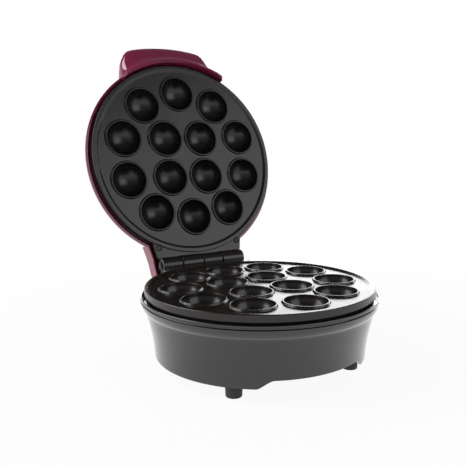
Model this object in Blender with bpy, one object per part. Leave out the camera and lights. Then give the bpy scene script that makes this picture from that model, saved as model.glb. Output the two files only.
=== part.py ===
"""A countertop cake pop maker, modelled open: a round base, a hinged lid and two cast plates of cups.

The base is modelled about its own centre with z = 0 at the rim of the lower plate. The lid is modelled
closed, in that same frame, and hangs from an empty on the hinge axis that turns it open.
"""

import math

import bmesh
import bpy
from mathutils import Matrix, Vector

MM = 0.001

# Clearances and general values
FIT = 0.3 * MM                  # gap between pieces that touch
OVERRUN = 2.0 * MM              # how far a cutter passes the face it cuts
MERGE = 0.01 * MM
ROUND_STEPS = 40
CUP_STEPS = 12
SMALL_STEPS = 10
POST_STEPS = 6
SHIELD_STEPS = 20
ELEMENT_STEPS = 18
PANEL_STEPS = 36
RING_STEPS = 10
HOLLOW_STEPS = 8
SMOOTH_DEGREES = 30.0

# Cups
CUP_RADIUS = 20.0 * MM
CUP_DEPTH = 19.0 * MM
CUP_WALL = 2.3 * MM
CUP_RIM = 1.3 * MM
CUP_COLLAR = 2.6 * MM
CUP_RING_COUNT = 10
CUP_RING_GAP = 8.825 * MM       # between neighbouring mouths of the ring
CUP_RING_RADIUS = (CUP_RADIUS + CUP_RING_GAP / 2) / math.sin(math.pi / CUP_RING_COUNT)
CUP_BACK_STEP = 6.9 * MM        # how much nearer the middle the back cup sits
CUP_BACK_RADIUS = CUP_RING_RADIUS - CUP_BACK_STEP
CUP_INNER_GAP = 7.0 * MM        # between the mouths of the four inner cups
CUP_INNER_OFFSET = CUP_RADIUS + CUP_INNER_GAP / 2
# Bowl outline as shares of the mouth radius and of the depth
BOWL_SHARES = ((1.0, 0.0), (0.925, -0.38), (0.66, -0.77))
# Outside of the bowl, as shares of its own radius and depth
BOWL_OUTER_SHARES = ((0.78, -0.66),)
BOWL_BOTTOM = CUP_DEPTH + CUP_WALL

# Cast plates, both alike
PLATE_MARGIN = 15.5 * MM        # from the mouths of the ring to the plate's edge
PLATE_RADIUS = CUP_RING_RADIUS + CUP_RADIUS + PLATE_MARGIN
PLATE_EDGE_CHAMFER = 0.6 * MM
PLATE_LIP_WIDTH = 4.5 * MM
PLATE_LIP_SLOPE = 2.0 * MM
PLATE_RECESS = 2.0 * MM
PLATE_THICKNESS = 2.5 * MM
PLATE_WALL = 3.2 * MM
PLATE_DEPTH = 7.0 * MM
PLATE_GAP = 0.4 * MM            # between the two rims with the lid shut

# Hinge
HINGE_HALF_LENGTH = 52.2 * MM
HINGE_BARREL_RADIUS = 9.17 * MM
HINGE_SETBACK = 2.6 * MM        # from the plate's edge to the barrels
HINGE_Y = PLATE_RADIUS + HINGE_SETBACK + HINGE_BARREL_RADIUS
HINGE_Z = PLATE_GAP / 2
HINGE_JOINT_SHARES = (-1.0, -0.536, -0.025, 0.456, 1.0)
HINGE_SIDE_GAP = 1.2 * MM
HINGE_NOTCH_GAP = 0.6 * MM
HINGE_OPEN_DEGREES = 106.9
PIN_RADIUS = 2.5 * MM
PIN_OVERHANG = 1.9 * MM
PIN_GROOVE_DEPTH = 0.6 * MM
PIN_RING_THICKNESS = 0.6 * MM
PIN_RING_WIDTH = 2.2 * MM
PIN_RING_OPENING_DEGREES = 70.0

# Neck of a plate, with its screws
NECK_FRONT_FLARE = 5.8 * MM
NECK_FRONT_HALF = HINGE_HALF_LENGTH + NECK_FRONT_FLARE
NECK_BACK_FLARE = 1.8 * MM
NECK_BACK_HALF = HINGE_HALF_LENGTH + NECK_BACK_FLARE
NECK_REACH = 3.2 * MM
NECK_BACK = PLATE_RADIUS + NECK_REACH
NECK_DROP = 1.0 * MM
NECK_ARC_STEPS = 8
NECK_SCREW_INSET = 1.4 * MM
NECK_SCREW_X = HINGE_HALF_LENGTH - NECK_SCREW_INSET
NECK_SCREW_SETBACK = 9.1 * MM
NECK_SCREW_Y = PLATE_RADIUS - NECK_SCREW_SETBACK
SPOT_FACE_RADIUS = 3.9 * MM
SPOT_FACE_DEPTH = 2.0 * MM
NECK_POST_RADIUS = 3.8 * MM
NECK_POST_GAP = 0.7 * MM
NECK_RIB_THICKNESS = 2.1 * MM

# Heating elements and their bushes
ELEMENT_RADIUS = 3.3 * MM
ELEMENT_RING_RADIUS = (CUP_RING_RADIUS + math.hypot(CUP_INNER_OFFSET, CUP_INNER_OFFSET)) / 2
ELEMENT_LIFT = 4.8 * MM         # from the bowls' bottoms up to the element's middle
ELEMENT_DEPTH = BOWL_BOTTOM - ELEMENT_LIFT
ELEMENT_OPENING_DEGREES = 70.0
ELEMENT_BEND = 8.0 * MM
ELEMENT_BEND_STEPS = 3
ELEMENT_LEG = 6.0 * MM
BUSH_WALL = 2.0 * MM
BUSH_FLANGE = 3.5 * MM
BUSH_HOLE_GAP = 1.5 * MM
BUSH_FLANGE_THICKNESS = 2.0 * MM
BUSH_BODY_LENGTH = 4.0 * MM

# Heat shields
SHIELD_GAP = 3.7 * MM           # from the bowls' bottoms
SHIELD_DEPTH = BOWL_BOTTOM + SHIELD_GAP
SHIELD_THICKNESS = 1.0 * MM
SHIELD_INSET = 11.5 * MM
SHIELD_RADIUS = PLATE_RADIUS - SHIELD_INSET
SHIELD_RIDGE_HALF = 4.0 * MM
SHIELD_LIP = 3.0 * MM

# Bosses, hooks and pads under a plate
CENTRE_BOSS_RADIUS = 8.0 * MM
CENTRE_BOSS_LIFT = 3.3 * MM     # from the bowls' bottoms
CENTRE_BOSS_DEPTH = BOWL_BOTTOM - CENTRE_BOSS_LIFT
SHIELD_BOSS_RADIUS = 4.5 * MM
SHIELD_BOSS_INSET = 6.0 * MM    # from the shield's edge
SHIELD_BOSS_PLACE = SHIELD_RADIUS - SHIELD_BOSS_INSET
SHIELD_BOSS_DEGREES = (36.0, 144.0, 216.0, 324.0)
HOOK_DEGREES = (243.0, 297.0)
HOOK_WIDTH = 12.0 * MM
HOOK_THICKNESS = 2.8 * MM
HOOK_TOE = 2.2 * MM
PAD_RADIUS = 4.5 * MM
PAD_DEGREES = (0.0, 180.0, 252.0, 288.0)

# Screws
SCREW_SHANK_RADIUS = 1.7 * MM
SCREW_HEAD_RADIUS = 3.4 * MM
SCREW_HEAD_HEIGHT = 1.6 * MM
SCREW_DOME_SHARES = (0.8, 0.33)
SCREW_RECESS_WIDTH = 1.1 * MM
SCREW_RECESS_DEPTH = 0.8 * MM
SCREW_RECESS_SHARE = 0.55       # of the head's radius
SMALL_SCREW_LENGTH = 7.0 * MM
SHORT_SCREW_LENGTH = 5.0 * MM
NECK_SCREW_LENGTH = 16.0 * MM
COVER_SCREW_LENGTH = 12.0 * MM

# Base housing
BODY_RIM_STEP = 3.7 * MM        # past the plate's edge
BODY_RIM_RADIUS = PLATE_RADIUS + BODY_RIM_STEP
BODY_BEAD_STEP = 0.4 * MM
BODY_BEAD_RADIUS = BODY_RIM_RADIUS + BODY_BEAD_STEP
BODY_TAPER = 12.7 * MM
BODY_BOTTOM_RADIUS = BODY_RIM_RADIUS - BODY_TAPER
BODY_LIP_DROP = 1.6 * MM
BODY_LIP_TOP = PLATE_DEPTH + BODY_LIP_DROP
BODY_LIP_WIDTH = 1.0 * MM
BODY_BAND = 2.0 * MM
BODY_GROOVE = 1.6 * MM
BODY_GROOVE_DEPTH = 1.0 * MM
BODY_BEAD_DROP = 0.6 * MM
BODY_ROOM = 42.8 * MM           # under the heat shield
BODY_BOTTOM = SHIELD_DEPTH + SHIELD_THICKNESS + BODY_ROOM
BODY_WALL = 2.3 * MM
# Flank from the bead to the bottom, as shares of the taper and of the height
FLANK_SHARES = (
    (0.0, 0.0), (0.11, 0.075), (0.23, 0.13), (0.38, 0.18), (0.59, 0.36), (0.82, 0.61), (1.0, 1.0),
)
ARCH_HALF_DEGREES = 33.5
ARCH_HEIGHT = 8.0 * MM
ARCH_CORNER = ARCH_HEIGHT
CORNER_STEPS = 4
CORNER_STEP_DEGREES = 90.0 / CORNER_STEPS
EDGE_STEPS = 5
BLOCK_HALF_WIDTH = NECK_FRONT_HALF
BLOCK_BACK_STEP = 0.3 * MM
BLOCK_BACK = BODY_RIM_RADIUS + BLOCK_BACK_STEP
BLOCK_LENGTH = 48.5 * MM
BLOCK_FRONT = BLOCK_BACK - BLOCK_LENGTH
BLOCK_CORNER = 6.0 * MM
BLOCK_CORNER_STEPS = 3
SHELF_INSET = 4.1 * MM
SHELF_RADIUS = PLATE_RADIUS - SHELF_INSET
SHELF_WIDTH = 2.5 * MM
SHELF_WEB_DROP = 7.0 * MM
SHELF_WEB_THICKNESS = 2.0 * MM
STOP_WIDTH = 8.0 * MM
STOP_INSET = 12.2 * MM
STOP_X = HINGE_HALF_LENGTH - STOP_INSET
STOP_HEIGHT = 4.0 * MM

# Bottom cover and feet
FOOT_REACH = 13.2 * MM          # below the housing
FLOOR_DROP = BODY_BOTTOM + FOOT_REACH
PANEL_RISE = 8.8 * MM           # of the bottom cover's face above the housing's edge
PANEL_THICKNESS = 2.0 * MM
PANEL_POST_RADIUS = 5.5 * MM
PANEL_POST_HEIGHT = 15.0 * MM
PANEL_POST_DEGREES = (0.0, 180.0, 235.0, 305.0)
VENT_LENGTH = 34.0 * MM
VENT_WIDTH = 3.0 * MM
VENT_PITCH = 8.0 * MM
VENT_COUNT = 5
FRONT_FOOT_INSET = 14.6 * MM
FRONT_FOOT_DEGREES = 43.53      # below the x axis
FRONT_FOOT_RADIUS = BODY_BOTTOM_RADIUS - FRONT_FOOT_INSET
FRONT_FOOT_X = FRONT_FOOT_RADIUS * math.cos(math.radians(FRONT_FOOT_DEGREES))
FRONT_FOOT_Y = -FRONT_FOOT_RADIUS * math.sin(math.radians(FRONT_FOOT_DEGREES))
REAR_FOOT_INSET = 14.0 * MM
REAR_FOOT_X = BLOCK_HALF_WIDTH - REAR_FOOT_INSET
REAR_FOOT_SETBACK = 17.5 * MM
REAR_FOOT_Y = BLOCK_BACK - REAR_FOOT_SETBACK
FOOT_RADIUS = 7.5 * MM
FOOT_TOP_RADIUS = 8.5 * MM
FOOT_EDGE = 1.0 * MM
FOOT_STEM_RADIUS = 3.0 * MM
FOOT_HEAD_RADIUS = 4.2 * MM
FOOT_HEAD_HEIGHT = 1.5 * MM

# Parts on the bottom cover and on the lower shield
TERMINAL_WIDTH = 32.0 * MM
TERMINAL_LENGTH = 16.0 * MM
TERMINAL_HEIGHT = 13.0 * MM
TERMINAL_SETBACK = 56.5 * MM
TERMINAL_Y = BLOCK_BACK - TERMINAL_SETBACK
TERMINAL_PITCH = 10.0 * MM
TERMINAL_BORE = 1.9 * MM
TERMINAL_BORE_RISE = 4.3 * MM
THERMOSTAT_RADIUS = 8.0 * MM
THERMOSTAT_BODY_RADIUS = 9.0 * MM
THERMOSTAT_SHOULDER = 1.5 * MM
THERMOSTAT_HEIGHT = 17.0 * MM
THERMOSTAT_EAR_HALF = 18.0 * MM
THERMOSTAT_EAR_WIDTH = 11.0 * MM
THERMOSTAT_EAR_THICKNESS = 1.2 * MM
THERMOSTAT_SCREW_INSET = 4.0 * MM
THERMOSTAT_SCREW_X = THERMOSTAT_EAR_HALF - THERMOSTAT_SCREW_INSET
THERMOSTAT_TAB_WIDTH = 5.5 * MM
THERMOSTAT_TAB_LENGTH = 11.0 * MM
FUSE_RADIUS = 2.2 * MM
FUSE_LENGTH = 16.0 * MM
FUSE_SETBACK = 20.0 * MM        # in front of the element's ring
FUSE_Y = -ELEMENT_RING_RADIUS + FUSE_SETBACK
CLIP_WIDTH = 8.0 * MM
CLIP_THICKNESS = 0.8 * MM
CLIP_EAR = 12.0 * MM
LEAD_RADIUS = 1.3 * MM
LEAD_DIP = 9.6 * MM             # how far ahead of the terminal block a lead levels out
LEAD_STEPS = 2
BUSHING_BORE = 3.6 * MM
BUSHING_BODY = 6.0 * MM
BUSHING_FLANGE = 8.6 * MM
BUSHING_FLANGE_THICKNESS = 2.2 * MM
BUSHING_RISE = 23.8 * MM        # above the housing's edge
BUSHING_DROP = BODY_BOTTOM - BUSHING_RISE

# Lid cover
LID_OVERHANG = 5.3 * MM
LID_RADIUS = PLATE_RADIUS + LID_OVERHANG
LID_RIM_STEP = 2.0 * MM
LID_RIM = PLATE_DEPTH + LID_RIM_STEP    # above the rim of the lower plate, lid shut
LID_ROOM = 15.3 * MM            # over the heat shield
LID_HEIGHT = SHIELD_DEPTH + SHIELD_THICKNESS + LID_ROOM
LID_WALL = 2.4 * MM
# Dome, as shares of the lid's radius and of the rise from its rim to its top
DOME_SHARES = (
    (1.0, 0.0), (0.996, 0.12), (0.985, 0.25), (0.955, 0.46), (0.90, 0.65), (0.80, 0.80), (0.63, 0.91), (0.38, 0.98),
)
BROW_GAP = 1.7 * MM             # to the plate's edge
BROW_INNER_RADIUS = PLATE_RADIUS + BROW_GAP
BROW_WALL = 2.4 * MM
BROW_RADIUS = BROW_INNER_RADIUS + BROW_WALL
BROW_DROP = 8.0 * MM            # below the rim of the lower plate, lid shut
BROW_HALF_DEGREES = 33.5
BROW_CORNER = 8.0 * MM
HANDLE_LENGTH = 26.4 * MM
HANDLE_REACH = BROW_RADIUS + HANDLE_LENGTH
HANDLE_SIDE_INSET = 2.06 * MM
HANDLE_SIDE_HALF = BROW_RADIUS * math.sin(math.radians(BROW_HALF_DEGREES)) - HANDLE_SIDE_INSET
# Plan of half the handle, as shares of its half width and of its reach
HANDLE_PLAN_SHARES = (
    (0.0, 1.0), (0.35, 0.993), (0.66, 0.972), (0.79, 0.948), (0.87, 0.90), (0.94, 0.834), (1.0, 0.69),
)
# Section of the handle, as shares of its reach past the brow and of its height above the brow's edge
HANDLE_SHARES = ((0.0, 0.0), (0.20, 0.25), (0.39, 0.39), (0.80, 0.56), (1.0, 0.70), (0.95, 0.80), (0.45, 0.90))
HANDLE_TOP_DROP = 8.3 * MM
HANDLE_TOP = LID_HEIGHT - HANDLE_TOP_DROP
HANDLE_ROOT_INSET = 19.8 * MM
HANDLE_ROOT_RADIUS = LID_RADIUS - HANDLE_ROOT_INSET
HANDLE_HOLLOW_SHARES = ((0.30, 0.50), (0.70, 0.64), (0.84, 0.72), (0.78, 0.78), (0.42, 0.84))
HANDLE_HOLLOW_HALF_DEGREES = 27.0
TAIL_FRONT_FLARE = 3.5 * MM
TAIL_FRONT_HALF = NECK_FRONT_HALF + TAIL_FRONT_FLARE
TAIL_BACK_FLARE = 3.3 * MM
TAIL_BACK_HALF = HINGE_HALF_LENGTH + TAIL_BACK_FLARE
TAIL_FRONT_INSET = 19.8 * MM
TAIL_FRONT = LID_RADIUS - TAIL_FRONT_INSET
TAIL_OVERHANG = 4.06 * MM       # behind the hinge barrels
TAIL_BACK = HINGE_Y + HINGE_BARREL_RADIUS + TAIL_OVERHANG
TAIL_TOP_DROP = 13.3 * MM
TAIL_TOP = LID_HEIGHT - TAIL_TOP_DROP
TAIL_EDGE = 5.0 * MM
TAIL_EDGE_STEPS = 2
# Plan of half the tail, as shares of the step from its back width to its front width, and of its length
TAIL_PLAN_SHARES = ((1.0, 0.0), (0.30, 0.48), (0.0, 0.88), (-0.55, 1.0))

# Lamps on the lid
LAMP_X = 13.0 * MM
LAMP_INSET = 35.8 * MM          # from the lid's edge
LAMP_Y = LAMP_INSET - LID_RADIUS
LAMP_RADIUS = 4.0 * MM
LAMP_CROWN_SHARE = 0.6          # of the lens's radius
LAMP_FLANGE = 1.4 * MM
LAMP_PROUD = 1.4 * MM
LAMP_BOARD_WIDTH = 55.2 * MM
LAMP_BOARD_LENGTH = 16.0 * MM
LAMP_BOARD_THICKNESS = 1.6 * MM
LAMP_POST_RADIUS = 2.8 * MM
LAMP_POST_INSET = 2.6 * MM
LAMP_POST_X = LAMP_BOARD_WIDTH / 2 - LAMP_POST_INSET
LAMP_BOARD_RISE = 2.6 * MM      # above the shield
LAMP_SCREW_LENGTH = 4.5 * MM

# Finishes: colour, roughness, metallic
FINISHES = {
    "black_gloss": ((0.016, 0.016, 0.018), 0.22, 0.0),
    "burgundy_gloss": ((0.085, 0.010, 0.026), 0.18, 0.0),
    "non_stick": ((0.020, 0.019, 0.019), 0.30, 0.25),
    "rubber": ((0.022, 0.022, 0.022), 0.80, 0.0),
    "black_plastic": ((0.030, 0.030, 0.032), 0.55, 0.0),
    "steel": ((0.60, 0.60, 0.61), 0.32, 1.0),
    "aluminium": ((0.72, 0.72, 0.73), 0.42, 1.0),
    "sheath": ((0.34, 0.32, 0.30), 0.45, 0.9),
    "ceramic": ((0.80, 0.78, 0.72), 0.60, 0.0),
    "red_lens": ((0.55, 0.02, 0.02), 0.12, 0.0),
    "green_lens": ((0.03, 0.40, 0.09), 0.12, 0.0),
    "lead_cover": ((0.70, 0.66, 0.56), 0.60, 0.0),
    "board": ((0.45, 0.36, 0.20), 0.60, 0.0),
}

BODY_FLOOR = -BODY_BOTTOM
PANEL_FACE = BODY_FLOOR + PANEL_RISE
PANEL_TOP = PANEL_FACE + PANEL_THICKNESS
SIDES = ((-1, "left"), (1, "right"))
MATERIALS = {}


def remove_scene_objects():
    """Empty the scene that the file opened with."""
    for item in list(bpy.data.objects):
        bpy.data.objects.remove(item, do_unlink=True)


def finish(name):
    """Return the material of a named finish, made once."""
    if name not in MATERIALS:
        colour, roughness, metallic = FINISHES[name]
        material = bpy.data.materials.new(name)
        material.use_nodes = True
        shader = material.node_tree.nodes["Principled BSDF"]
        shader.inputs["Base Color"].default_value = (*colour, 1.0)
        shader.inputs["Roughness"].default_value = roughness
        shader.inputs["Metallic"].default_value = metallic
        material.diffuse_color = (*colour, 1.0)
        MATERIALS[name] = material
    return MATERIALS[name]


def empty(name, place, parent=None):
    """Add an empty at a place under its parent."""
    item = bpy.data.objects.new(name, None)
    bpy.context.collection.objects.link(item)
    item.parent = parent
    item.location = place
    return item


def add_piece(name, bm, coat, holder):
    """Turn a bmesh into a named object with its finish, under the empty that carries it."""
    bmesh.ops.remove_doubles(bm, verts=bm.verts, dist=MERGE)
    bmesh.ops.recalc_face_normals(bm, faces=bm.faces)
    mesh = bpy.data.meshes.new(name)
    bm.to_mesh(mesh)
    bm.free()
    mesh.shade_smooth()
    mesh.set_sharp_from_angle(angle=math.radians(SMOOTH_DEGREES))
    item = bpy.data.objects.new(name, mesh)
    bpy.context.collection.objects.link(item)
    if coat:
        mesh.materials.append(finish(coat))
    item.parent = holder["empty"]
    item.location = holder["offset"]
    return item


def combine(target, bm, operation, overlapping=False):
    """Join a shape to an object, or cut it from it, with an exact Boolean."""
    holder = {"empty": target.parent, "offset": target.location}
    apply_tool(target, add_piece(target.name + "_tool", bm, None, holder), operation, overlapping)


def apply_tool(target, tool, operation, overlapping=False):
    """Join a hidden object to another, or cut it from it, with an exact Boolean."""
    tool.hide_render = True
    tool.display_type = "WIRE"
    step = target.modifiers.new(operation.lower(), "BOOLEAN")
    step.operation = operation
    step.object = tool
    step.solver = "EXACT"
    step.use_self = overlapping


def turned(outline, steps, axis="Z", place=(0.0, 0.0, 0.0), bm=None):
    """Spin a closed outline of (radius, height) about an axis through a place."""
    bm = bm or bmesh.new()
    start = [bm.verts.new((radius, 0.0, height)) for radius, height in outline]
    edges = [bm.edges.new((a, b)) for a, b in zip(start, start[1:] + start[:1])]
    on_axis = [edge for edge in edges if all(abs(vert.co.x) < MERGE for vert in edge.verts)]
    bmesh.ops.delete(bm, geom=on_axis, context="EDGES")
    start = [vert for vert in start if vert.is_valid]
    edges = [edge for edge in edges if edge.is_valid]
    bmesh.ops.spin(bm, geom=start + edges, cent=(0, 0, 0), axis=(0, 0, 1), angle=math.tau, steps=steps,
                   use_merge=True)
    verts = linked_from(bm, start)
    bmesh.ops.remove_doubles(bm, verts=verts, dist=MERGE)
    verts = [vert for vert in verts if vert.is_valid]
    turn = {"Z": Matrix(), "X": Matrix.Rotation(math.pi / 2, 4, "Y"), "Y": Matrix.Rotation(-math.pi / 2, 4, "X")}
    bmesh.ops.transform(bm, matrix=Matrix.Translation(place) @ turn[axis], verts=verts)
    return bm


def linked_from(bm, seeds):
    """Return every vertex that is joined by edges to the seeds."""
    found = set(seeds)
    queue = list(seeds)
    while queue:
        vert = queue.pop()
        for edge in vert.link_edges:
            other = edge.other_vert(vert)
            if other not in found:
                found.add(other)
                queue.append(other)
    return list(found)


def rod(radius, low, high, place, axis="Z", steps=SMALL_STEPS, bm=None):
    """Add a plain cylinder from low to high along an axis through a place."""
    return turned([(0.0, low), (radius, low), (radius, high), (0.0, high)], steps, axis, place, bm)


def slab(outline, low, high, bm=None):
    """Extrude a flat outline of (x, y) from low to high."""
    bm = bm or bmesh.new()
    face = bm.faces.new([bm.verts.new((x, y, low)) for x, y in outline])
    made = bmesh.ops.extrude_face_region(bm, geom=[face])
    top = [part for part in made["geom"] if isinstance(part, bmesh.types.BMVert)]
    bmesh.ops.translate(bm, vec=(0.0, 0.0, high - low), verts=top)
    return bm


def block(low, high, turn_degrees=0.0, bm=None):
    """Add a box between two corners, turned about the z axis."""
    bm = bm or bmesh.new()
    size = Vector(high) - Vector(low)
    middle = (Vector(high) + Vector(low)) / 2
    place = Matrix.Rotation(math.radians(turn_degrees), 4, "Z") @ Matrix.Translation(middle)
    bmesh.ops.create_cube(bm, size=1, matrix=place @ Matrix.Diagonal((*size, 1)))
    return bm


def loft(rings, bm=None):
    """Bridge rings of points, all of one count, and close both ends."""
    bm = bm or bmesh.new()
    rows = [[bm.verts.new(point) for point in ring] for ring in rings]
    for row, after in zip(rows, rows[1:]):
        for index in range(len(row)):
            follow = (index + 1) % len(row)
            bm.faces.new((row[index], row[follow], after[follow], after[index]))
    bm.faces.new(rows[0])
    bm.faces.new(list(reversed(rows[-1])))
    return bm


def polar(radius, degrees, z=0.0):
    """Return the point at a radius and an angle."""
    angle = math.radians(degrees)
    return (radius * math.cos(angle), radius * math.sin(angle), z)


def mirrored(outline, upper):
    """Return an outline of (radius, height) for the lower plate, or turned over for the upper one."""
    return [(radius, flip(height, upper)) for radius, height in outline]


def flip(height, upper):
    """Turn a height over about the plane midway between the two plates."""
    return PLATE_GAP - height if upper else height


def cup_places():
    """Return the centres of the fourteen cups: a ring, whose back cup sits nearer the middle, and four inside."""
    places = []
    for index in range(CUP_RING_COUNT):
        degrees = 90.0 + index * 360.0 / CUP_RING_COUNT
        places.append(polar(CUP_RING_RADIUS if index else CUP_BACK_RADIUS, degrees)[:2])
    for x_side in (-1, 1):
        for y_side in (-1, 1):
            places.append((x_side * CUP_INNER_OFFSET, y_side * CUP_INNER_OFFSET))
    return places


def barrel_spans(upper):
    """Return the x spans of a plate's two hinge barrels; the other plate has the spans between them."""
    edges = [share * HINGE_HALF_LENGTH for share in HINGE_JOINT_SHARES]
    spans = list(zip(edges, edges[1:]))[0 if upper else 1::2]
    trimmed = []
    for low, high in spans:
        low += HINGE_SIDE_GAP / 2 if low > edges[0] else 0.0
        high -= HINGE_SIDE_GAP / 2 if high < edges[-1] else 0.0
        trimmed.append((low, high))
    return trimmed


def bowl_outline(radius, depth, top, upper):
    """Return a bowl's outline, filled to the axis, from a height above its mouth down to its pole."""
    points = [(radius * wide, depth * deep) for wide, deep in BOWL_SHARES]
    outline = [(0.0, top), (radius, top)] + points[0 if top else 1:] + [(0.0, -depth)]
    return mirrored(outline, upper)


def plate(name, upper, holder):
    """Cast plate with its rim, cups, neck, hinge barrels, bosses and hooks."""
    disc_top = -PLATE_RECESS
    disc_bottom = disc_top - PLATE_THICKNESS
    wall_inside = PLATE_RADIUS - PLATE_WALL
    outline = [
        (0.0, disc_top), (PLATE_RADIUS - PLATE_LIP_WIDTH - PLATE_LIP_SLOPE, disc_top),
        (PLATE_RADIUS - PLATE_LIP_WIDTH, 0.0), (PLATE_RADIUS - PLATE_EDGE_CHAMFER, 0.0),
        (PLATE_RADIUS, -PLATE_EDGE_CHAMFER), (PLATE_RADIUS, -PLATE_DEPTH),
        (wall_inside, -PLATE_DEPTH), (wall_inside, disc_bottom), (0.0, disc_bottom),
    ]
    piece = add_piece(name, turned(mirrored(outline, upper), ROUND_STEPS), "non_stick", holder)

    cups = bmesh.new()
    outer = CUP_RADIUS + CUP_WALL
    for x, y in cup_places():
        shell = [(0.0, 0.0), (CUP_RADIUS + CUP_RIM, 0.0), (CUP_RADIUS + CUP_COLLAR, disc_top)]
        shell += [(outer * wide, BOWL_BOTTOM * deep) for wide, deep in BOWL_OUTER_SHARES]
        shell += [(0.0, -BOWL_BOTTOM)]
        turned(mirrored(shell, upper), CUP_STEPS, "Z", (x, y, 0.0), cups)
    combine(piece, cups, "UNION")

    neck_top = -NECK_DROP
    side = math.degrees(math.asin(NECK_FRONT_HALF / (PLATE_RADIUS - PLATE_WALL / 2)))
    shares = [1 - 2 * index / NECK_ARC_STEPS for index in range(NECK_ARC_STEPS + 1)]
    front = [polar(PLATE_RADIUS - PLATE_WALL / 2, 90.0 + side * share)[:2] for share in shares]
    rear = [(NECK_BACK_HALF, NECK_BACK), (HINGE_HALF_LENGTH, NECK_BACK + PLATE_EDGE_CHAMFER),
            (HINGE_HALF_LENGTH, HINGE_Y)]
    outline = front + rear + [(-x, y) for x, y in reversed(rear)]
    combine(piece, slab(outline, flip(-PLATE_DEPTH, upper), flip(neck_top, upper)), "UNION")
    barrels = bmesh.new()
    for low, high in barrel_spans(upper):
        rod(HINGE_BARREL_RADIUS, low, high, (0.0, HINGE_Y, HINGE_Z), "X", 2 * SMALL_STEPS, barrels)
    combine(piece, barrels, "UNION")

    notches = bmesh.new()
    reach = HINGE_BARREL_RADIUS + HINGE_NOTCH_GAP
    for low, high in barrel_spans(not upper):
        low -= HINGE_SIDE_GAP / 2
        high += HINGE_SIDE_GAP / 2
        low -= OVERRUN if low < -HINGE_HALF_LENGTH else 0.0
        high += OVERRUN if high > HINGE_HALF_LENGTH else 0.0
        corner = (high - FIT, HINGE_Y + 2 * reach, 2 * reach)
        block((low + FIT, HINGE_Y - reach, -2 * reach), corner, 0.0, notches)
    combine(piece, notches, "DIFFERENCE")

    under = bmesh.new()
    middle_z = disc_top - PLATE_THICKNESS / 2
    posts = [(0.0, 0.0, CENTRE_BOSS_RADIUS, CENTRE_BOSS_DEPTH)]
    for degrees in SHIELD_BOSS_DEGREES:
        posts.append((*polar(SHIELD_BOSS_PLACE, degrees)[:2], SHIELD_BOSS_RADIUS, SHIELD_DEPTH - FIT))
    for degrees in PAD_DEGREES:
        top_of_tube = ELEMENT_DEPTH - ELEMENT_RADIUS
        posts.append((*polar(ELEMENT_RING_RADIUS, degrees)[:2], PAD_RADIUS, top_of_tube - FIT))
    for x, y, radius, depth in posts:
        outline = [(0.0, middle_z), (radius, middle_z), (radius, -depth), (0.0, -depth)]
        turned(mirrored(outline, upper), POST_STEPS, "Z", (x, y, 0.0), under)
    combine(piece, under, "UNION")
    hooks = bmesh.new()
    leg_out = SHELF_RADIUS - 2 * FIT
    web_bottom = PLATE_DEPTH + FIT + SHELF_WEB_DROP + SHELF_WEB_THICKNESS
    toe = (web_bottom + FIT, web_bottom + FIT + HOOK_TOE)
    for degrees in HOOK_DEGREES:
        levels = sorted((flip(middle_z, upper), flip(-toe[1], upper)))
        low = (leg_out - HOOK_THICKNESS, -HOOK_WIDTH / 2, levels[0])
        block(low, (leg_out, HOOK_WIDTH / 2, levels[1]), degrees, hooks)
    combine(piece, hooks, "UNION")
    toes = bmesh.new()
    for degrees in HOOK_DEGREES:
        levels = sorted((flip(-toe[0], upper), flip(-toe[1], upper)))
        low = (leg_out - HOOK_THICKNESS / 2, -HOOK_WIDTH / 2 + FIT, levels[0])
        high = (SHELF_RADIUS + SHELF_WIDTH / 2, HOOK_WIDTH / 2 - FIT, levels[1])
        block(low, high, degrees, toes)
    combine(piece, toes, "UNION")

    holes = bmesh.new()
    for x, y in cup_places():
        turned(bowl_outline(CUP_RADIUS, CUP_DEPTH, OVERRUN, upper), CUP_STEPS, "Z", (x, y, 0.0), holes)
    end = HINGE_HALF_LENGTH + OVERRUN
    rod(PIN_RADIUS + FIT, -end, end, (0.0, HINGE_Y, HINGE_Z), "X", SMALL_STEPS, holes)
    bore = SCREW_SHANK_RADIUS + FIT
    for x in (-NECK_SCREW_X, NECK_SCREW_X):
        outline = [(0.0, OVERRUN), (SPOT_FACE_RADIUS, OVERRUN), (SPOT_FACE_RADIUS, -SPOT_FACE_DEPTH),
                   (bore, -SPOT_FACE_DEPTH), (bore, -PLATE_DEPTH - OVERRUN), (0.0, -PLATE_DEPTH - OVERRUN)]
        turned(mirrored(outline, upper), SMALL_STEPS, "Z", (x, NECK_SCREW_Y, 0.0), holes)
    for degrees in SHIELD_BOSS_DEGREES:
        outline = [(0.0, -SHIELD_DEPTH + SMALL_SCREW_LENGTH), (bore, -SHIELD_DEPTH + SMALL_SCREW_LENGTH),
                   (bore, -SHIELD_DEPTH - OVERRUN), (0.0, -SHIELD_DEPTH - OVERRUN)]
        turned(mirrored(outline, upper), POST_STEPS, "Z", polar(SHIELD_BOSS_PLACE, degrees), holes)
    combine(piece, holes, "DIFFERENCE")
    return piece


def corner_rise(distance, corner):
    """Return how far a rounded corner lifts an edge at a distance from its end."""
    inside = max(corner - distance, 0.0)
    return corner - math.sqrt(corner * corner - inside * inside)


def edge_columns(half_degrees, radius, corner):
    """Return (angle from the front, lift of the edge) along a curved edge with rounded ends."""
    half = math.radians(half_degrees) * radius
    turns = [math.radians(CORNER_STEP_DEGREES * index) for index in range(CORNER_STEPS)]
    distances = [corner * (1 - math.cos(turn)) for turn in turns]
    run = half - corner
    distances += [corner + run * index / EDGE_STEPS for index in range(EDGE_STEPS + 1)]
    left = [(-(half - distance) / radius, corner_rise(distance, corner)) for distance in distances]
    right = [(-angle, lift) for angle, lift in reversed(left[:-1])]
    return left + right


def front_point(radius, angle, z):
    """Return the point at a radius and an angle from the front, positive towards +x."""
    return (radius * math.sin(angle), -radius * math.cos(angle), z)


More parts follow.
